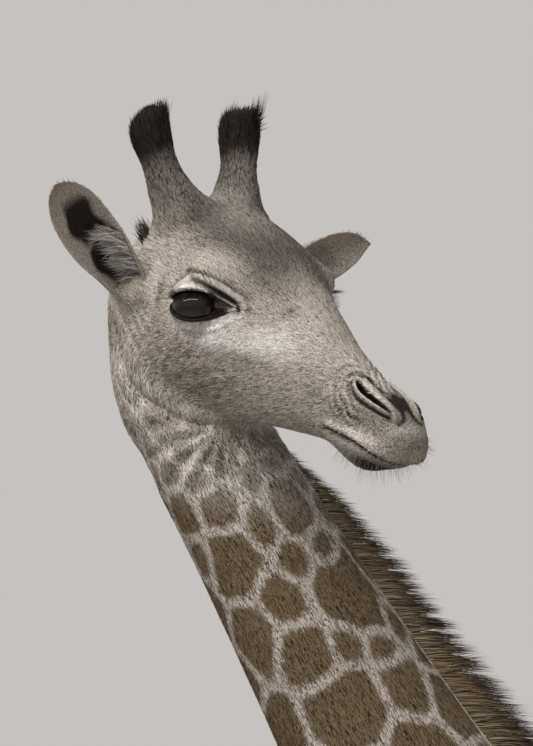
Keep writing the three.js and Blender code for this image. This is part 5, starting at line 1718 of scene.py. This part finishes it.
# Long pale hair grows from the inner edge of each ear and hangs over the dark hollow.
count = 620
for name in EARS:
    t, s = chance.uniform(0.16, 0.50, count), chance.uniform(-0.80, -0.45, count)
    lock = (t * 46).astype(int)
    stray = chance.normal(0, 0.05, (30, 2))[lock] + chance.normal(0, 0.02, (count, 2))
    roots = ear_sheet(name, t, s, np.full(count, -0.003))
    t, s = t + 0.06 + stray[:, 0], s + chance.uniform(0.30, 0.90, count) + stray[:, 1]
    way = ear_sheet(name, np.clip(t, 0, 1), s, np.full(count, -0.008)) - roots
    reach = np.linalg.norm(way, axis=1)
    face = np.tile(ear_line(name)[2][2], (count, 1))
    hair_piece(f"ear_hair_{name}", hair_paint, "coat", roots, face, way / reach[:, None], reach,
               chance.uniform(0.0009, 0.0016, count), face * 0.10 + chance.normal(0, 0.05, (count, 3)), 2,
               normal=face + chance.normal(0, 0.3, (count, 3)), sheet=unwrap(roots),
               hair=chance.random(count), place=combed(roots), **one_tone(count, 0.75))

# A dark tuft stands between each ear and the nape.
POLL_TUFT = np.array([-0.176, 0.070, 0.046])
count = 240
chosen = sum(bell(np.linalg.norm(skin - on_head(POLL_TUFT * [1, side, 1]), axis=1) / 0.007)
             for side in SIDES.values())
corners, part, spot, out = strew(chosen, count, chance)
way = unit(0.6 * out + head_axes @ [-0.7, 0, 0.9] + chance.normal(0, 0.30, (count, 3)))
hair_piece("poll_tufts", hair_paint, "coat", spot, out, way,
           chance.uniform(0.014, 0.028, count), chance.uniform(0.0009, 0.0016, count),
           chance.normal(0, 0.12, (count, 3)), 2, normal=out, hair=chance.random(count),
           **one_tone(count, -1), **hide_values(corners, part))

# ---------------------------------------------------------------- the eyes
# Dark wet balls 60 mm across, one colour all over, with a low bulge in front.
EYE_SIDES = 48
eye_turns = np.arange(EYE_SIDES) * ROUND / EYE_SIDES
for name, opening in eye_openings.items():
    rings = []
    centre = on_head(EYE_PLACE * [1, SIDES[name], 1])
    for polar in np.linspace(0, math.pi, 33)[1:-1]:
        r = EYE_RADIUS + 0.0018 * bell(polar / 0.5)
        rings.append(centre + r * (math.cos(polar) * opening.out + math.sin(polar) * (
            np.cos(eye_turns)[:, None] * opening.ahead + np.sin(eye_turns)[:, None] * opening.up)))
    points, faces = closed_loft(np.array(rings))
    ball = grid_mesh(f"eyeball_{name}", points, faces)
    wet, tree, shader = new_material(f"wet eye {name}")
    set_inputs(tree, shader, Base_Color=srgb(26, 19, 14), Roughness=0.04)
    ball.data.materials.append(wet)
    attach(ball, "root")
    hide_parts(f"eye_{name}")

# ---------------------------------------------------------------- the mane
# A stiff brush of hair along the crest from the withers to the poll: brown at the root with near black ends,
# in hundreds of small pointed locks that lean back to the withers.
MANE_FROM, MANE_TO = WITHERS + 0.040, spine.last - 0.006
MANE_LEAN = 0.45
mane_height = smooth_curve(
    [MANE_FROM, SHOULDER + 0.06, SKULL_BASE - 0.69, SKULL_BASE - 0.58, SKULL_BASE - 0.35, SKULL_BASE - 0.20,
     SKULL_BASE, MANE_TO], [0.012, 0.080, 0.080, 0.068, 0.058, 0.044, 0.036, 0.026])
MANE_HAIRS = 15500
LOCK_EVERY = 0.0045
MANE_LOCKS = 997
chance = np.random.default_rng(11)
at = MANE_FROM + (MANE_TO - MANE_FROM) * (np.arange(MANE_HAIRS) + chance.random(MANE_HAIRS)) / MANE_HAIRS
aside = chance.uniform(-1, 1, MANE_HAIRS)
middle, above, below, crest, left, ahead = spine_frame(at)
twist = np.radians(mane_twist(at))[:, None]
out = crest * np.cos(twist) + left * np.sin(twist)
across = left * np.cos(twist) - crest * np.sin(twist)
half = spine.half(at)[:, None]
roots = (middle + crest * np.cos(twist) * above[:, None] + left * np.sin(twist) * half
         + across * (0.013 * aside)[:, None] - out * (0.005 + 0.002 * aside**2)[:, None])
lock = (at / LOCK_EVERY + 1.5 * aside).astype(int) % MANE_LOCKS
lock_lean, lock_side = chance.normal(0, 0.07, MANE_LOCKS), chance.normal(0, 0.05, MANE_LOCKS)
lock_size = chance.uniform(0.90, 1.04, MANE_LOCKS)
way = unit(out - ahead * (MANE_LEAN * 0.8 + lock_lean[lock] + chance.normal(0, 0.06, MANE_HAIRS))[:, None]
           + across * (lock_side[lock] - 0.15 * aside + chance.normal(0, 0.05, MANE_HAIRS))[:, None])
rise = mane_height(at) * (1 - 0.45 * abs(aside) ** 2.5) * lock_size[lock]
rise = rise * chance.uniform(0.80, 1.07, MANE_HAIRS)
reach = rise / np.maximum((way * out).sum(1), 0.5) + 0.004


def dark_ended_hair(name, dark, light):
    """Hair of which each one has its own colour between two, and near black ends."""
    paint, tree, shader = new_material(name)
    tip, each = read_value(tree, "tip"), read_value(tree, "hair")
    shade = maths(tree, "MULTIPLY_ADD", each, 0.35, tip)
    colour = blend(tree, each, dark, light)
    colour = blend(tree, ramp(tree, shade, 0.70, 1.20), colour, srgb(40, 32, 26))
    set_inputs(tree, shader, Base_Color=colour, Roughness=0.62, Specular_IOR_Level=0.3)
    return paint


mane_paint = dark_ended_hair("mane hair", srgb(100, 82, 62), srgb(182, 160, 130))
width = chance.uniform(0.0012, 0.0024, MANE_HAIRS)
bend = -ahead * 0.16 + across * chance.normal(0, 0.05, (MANE_HAIRS, 1))
lit = unit(across * (aside * 1.2)[:, None] + out * 0.7 + chance.normal(0, 0.25, (MANE_HAIRS, 3)))
mane = hair_piece("mane_hair", mane_paint, "dark_hair", roots, out, way, reach, width, bend, 2,
                  normal=lit, sheet=unwrap(roots), hair=chance.random(MANE_HAIRS))
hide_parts("mane")

# ---------------------------------------------------------------- the tail tuft
# Long coarse black hair that hangs from the lower half of the tail.
TUFT_HAIRS = 2600
TUFT_LENGTH = 0.36  # how much of the tail bears it
TAIL_END = 1.300
chance = np.random.default_rng(12)
at = TUFT_FROM - 0.03 + TUFT_LENGTH * chance.random(TUFT_HAIRS) ** 1.3
middle, down, back = tail_line(at)
angle = chance.uniform(0, ROUND, TUFT_HAIRS)[:, None]
out = np.array([1.0, 0, 0]) * np.sin(angle) + back * np.cos(angle)
stem = np.interp(at, [0.70, 0.80, 1.10], [0.012, 0.010, 0.004])[:, None]
reach = np.minimum(chance.uniform(0.16, 0.46, TUFT_HAIRS), TAIL_END - at)
fan = chance.uniform(0.03, 0.19, TUFT_HAIRS)[:, None]
tuft_paint = dark_ended_hair("tail hair", srgb(30, 25, 22), srgb(52, 44, 38))
width = chance.uniform(0.0018, 0.0034, TUFT_HAIRS)
bend = -out * fan * 0.8 + chance.normal(0, 0.012, (TUFT_HAIRS, 3))
lit = unit(out + chance.normal(0, 0.3, (TUFT_HAIRS, 3)))
sheet = np.stack([0.02 + 0.02 * angle[:, 0], 0.01 + 0 * at], -1)
tuft = hair_piece("tail_hair", tuft_paint, "dark_hair", middle + out * stem, out, unit(down + out * fan),
                  reach, width, bend, 3, normal=lit, sheet=sheet, hair=chance.random(TUFT_HAIRS))
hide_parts("tail_tuft")

# ---------------------------------------------------------------- lashes and whiskers
# Long dark lashes that shade the eye from the upper lid, short pale ones under it, and single stiff
# whiskers on lips, chin and round the nostrils.
chance = np.random.default_rng(13)


def tinted_hair(name, dark, light):
    """Plain hair, each one between a dark and a light colour."""
    paint, tree, shader = new_material(name)
    set_inputs(tree, shader, Base_Color=blend(tree, read_value(tree, "hair"), dark, light), Roughness=0.5)
    return paint


lash_paint = tinted_hair("lashes", srgb(24, 18, 15), srgb(62, 48, 38))
whisker_paint = tinted_hair("whiskers", srgb(120, 112, 104), srgb(224, 218, 210))
for name, opening in eye_openings.items():
    count = 260
    angle = np.radians(chance.uniform(28, 165, count))
    rim = almond(angle)
    rim = rim + (rim - ALMOND_MIDDLE) * 0.01
    x, y = rim.T
    r = np.hypot(x, y)
    roots = opening.place(x, y, np.sqrt(np.clip((EYE_RADIUS + 0.002) ** 2 - r * r, 0, None)))
    lift = np.sin(angle)
    way = unit(opening.out * 1.0 + opening.up * (0.10 + 0.35 * lift)[:, None]
               + opening.ahead * (0.30 + 0.35 * np.cos(angle))[:, None] + chance.normal(0, 0.07, (count, 3)))
    reach = (0.012 + 0.020 * lift**2) * chance.uniform(0.7, 1.1, count)
    out = np.tile(opening.up, (count, 1))
    hair_piece(f"lashes_{name}", lash_paint, "dark_hair", roots, out, way, reach,
               chance.uniform(0.0005, 0.0009, count), np.tile(-opening.up * 0.22, (count, 1)), 3,
               normal=unit(out + opening.out), sheet=np.tile([0.5, 0.99], (count, 1)),
               hair=chance.random(count))
    count = 120
    angle = np.radians(chance.uniform(200, 345, count))
    rim = almond(angle)
    x, y = (rim + (rim - ALMOND_MIDDLE) / EYE_DROP * chance.uniform(0.0060, 0.0095, count)[:, None]).T
    r = np.hypot(x, y)
    roots = opening.place(x, y, dome(EYE_RADIUS + LID, r))
    way = unit(opening.out * 0.5 - opening.up + chance.normal(0, 0.15, (count, 3)))
    out = np.tile(opening.out, (count, 1))
    hair_piece(f"lower_lashes_{name}", whisker_paint, "dark_hair", roots, out, way,
               chance.uniform(0.004, 0.008, count), np.full(count, 0.0005), 0 * out, 2, normal=out,
               sheet=np.tile([0.52, 0.99], (count, 1)), hair=chance.random(count))

count = 360
lips = (face_ahead > 0.20) * (zone["face"] > 0.5) * ease(-0.085, -0.12, face_up)
corners, part, spot, out = strew(lips, count, chance)
ahead = np.tile(head_axes[:, 0], (count, 1))
below_mouth = ease(-0.125, -0.14, spread(face_up, corners, part))
way = unit(out + ahead * 0.35 - head_axes[:, 2] * (0.2 + 0.4 * below_mouth[:, None])
           + chance.normal(0, 0.2, (count, 3)))
reach = chance.uniform(0.008, 0.020, count) + 0.014 * below_mouth * chance.random(count)
hair_piece("whiskers", whisker_paint, "dark_hair", spot - out * ROOT_DEPTH, ahead, way, reach,
           np.full(count, 0.0004), chance.normal(0, 0.1, (count, 3)), 3, normal=out,
           sheet=hide_sheet[corners[:, 0]], hair=chance.random(count))

# ---------------------------------------------------------------- the hooves
# Two dark toes to each foot, of horn that is ridged by its growth, with a rounded edge at the sole.
HOOF_CLEFT = 0.009
hoof_paint, tree, shader = new_material("hoof horn")
spot = add_node(tree, "ShaderNodeTexCoord").outputs["Object"]
rings = add_node(tree, "ShaderNodeTexWave", dict(wave_type="BANDS", bands_direction="Z"), Vector=spot,
                 Scale=38.0, Distortion=2.2, Detail=2.0).outputs["Fac"]
wear = noise(tree, spot, 60, 4)
worn = maths(tree, "MULTIPLY_ADD", wear, 0.7, maths(tree, "MULTIPLY", rings, 0.3))
bump = add_node(tree, "ShaderNodeBump", Strength=0.5, Distance=0.001, Height=rings)
set_inputs(tree, shader, Base_Color=blend(tree, worn, srgb(30, 25, 21), srgb(92, 80, 66)),
           Roughness=ramp(tree, wear, 0.2, 0.8, 0.42, 0.7), Normal=bump.outputs[0])
HOOF_SIDES = 48
WALL_HEIGHTS = [0, 0.012, 0.0576, HOOF_TOP]  # where the hoof wall's slope changes
HOOF_RINGS = np.array([0, 0.0005, 0.003, 0.008, 0.014, 0.022, 0.032, 0.042, 0.052, 0.062, 0.072, 0.082, 0.090,
                       0.0945, HOOF_TOP - 0.0004])


def boxy(wave):
    """A sine or cosine squared off a little: its size to the power 0.8, with its sign."""
    return np.sign(wave) * np.abs(wave) ** 0.8


z = HOOF_RINGS
round_edge = 0.004 * np.clip(1 - z / 0.008, 0, 1) ** 2 + 0.004 * np.clip((z - 0.088) / 0.0076, 0, 1) ** 2
growth = 0.0006 * np.sin(ROUND * z / 0.011) * (z > 0.01) * (z < 0.088)
angle = np.arange(HOOF_SIDES) * ROUND / HOOF_SIDES
c, s = boxy(np.cos(angle)), boxy(np.sin(angle))
for name, (bones, side, *_) in LEGS.items():
    top = leg_middle(name, np.array([HOOF_TOP]))[0]
    wide, deep = bones.wide(HOOF_TOP), bones.deep(HOOF_TOP)
    outer = np.interp(z, WALL_HEIGHTS, [0.007, 0.007, 0.002, -0.001]) + wide - round_edge + growth
    toe = smooth_curve(WALL_HEIGHTS, [0.044, 0.044, 0.017, -0.001])(z) + deep - round_edge + growth
    heel = np.interp(z, WALL_HEIGHTS, [-0.002, 0.001, 0.002, -0.001]) + deep - round_edge + growth
    for half, place in ((side, "outer"), (-side, "inner")):
        edge = round_edge[:, None]
        width = (outer - HOOF_CLEFT / 2)[:, None] / 2
        x = top[0] + half * (HOOF_CLEFT / 2 + edge + (width - edge / 2) * (1 + s))
        y = top[1] + np.where(c > 0, heel[:, None], toe[:, None]) * c
        points, faces = closed_loft(np.stack([x, y, z[:, None] + 0 * x], -1))
        toe_piece = grid_mesh(f"horn_{name}_{place}", points, faces)
        toe_piece.data.materials.append(hoof_paint)
        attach(toe_piece, "root")
        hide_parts(f"hoof_{name}_{place}")
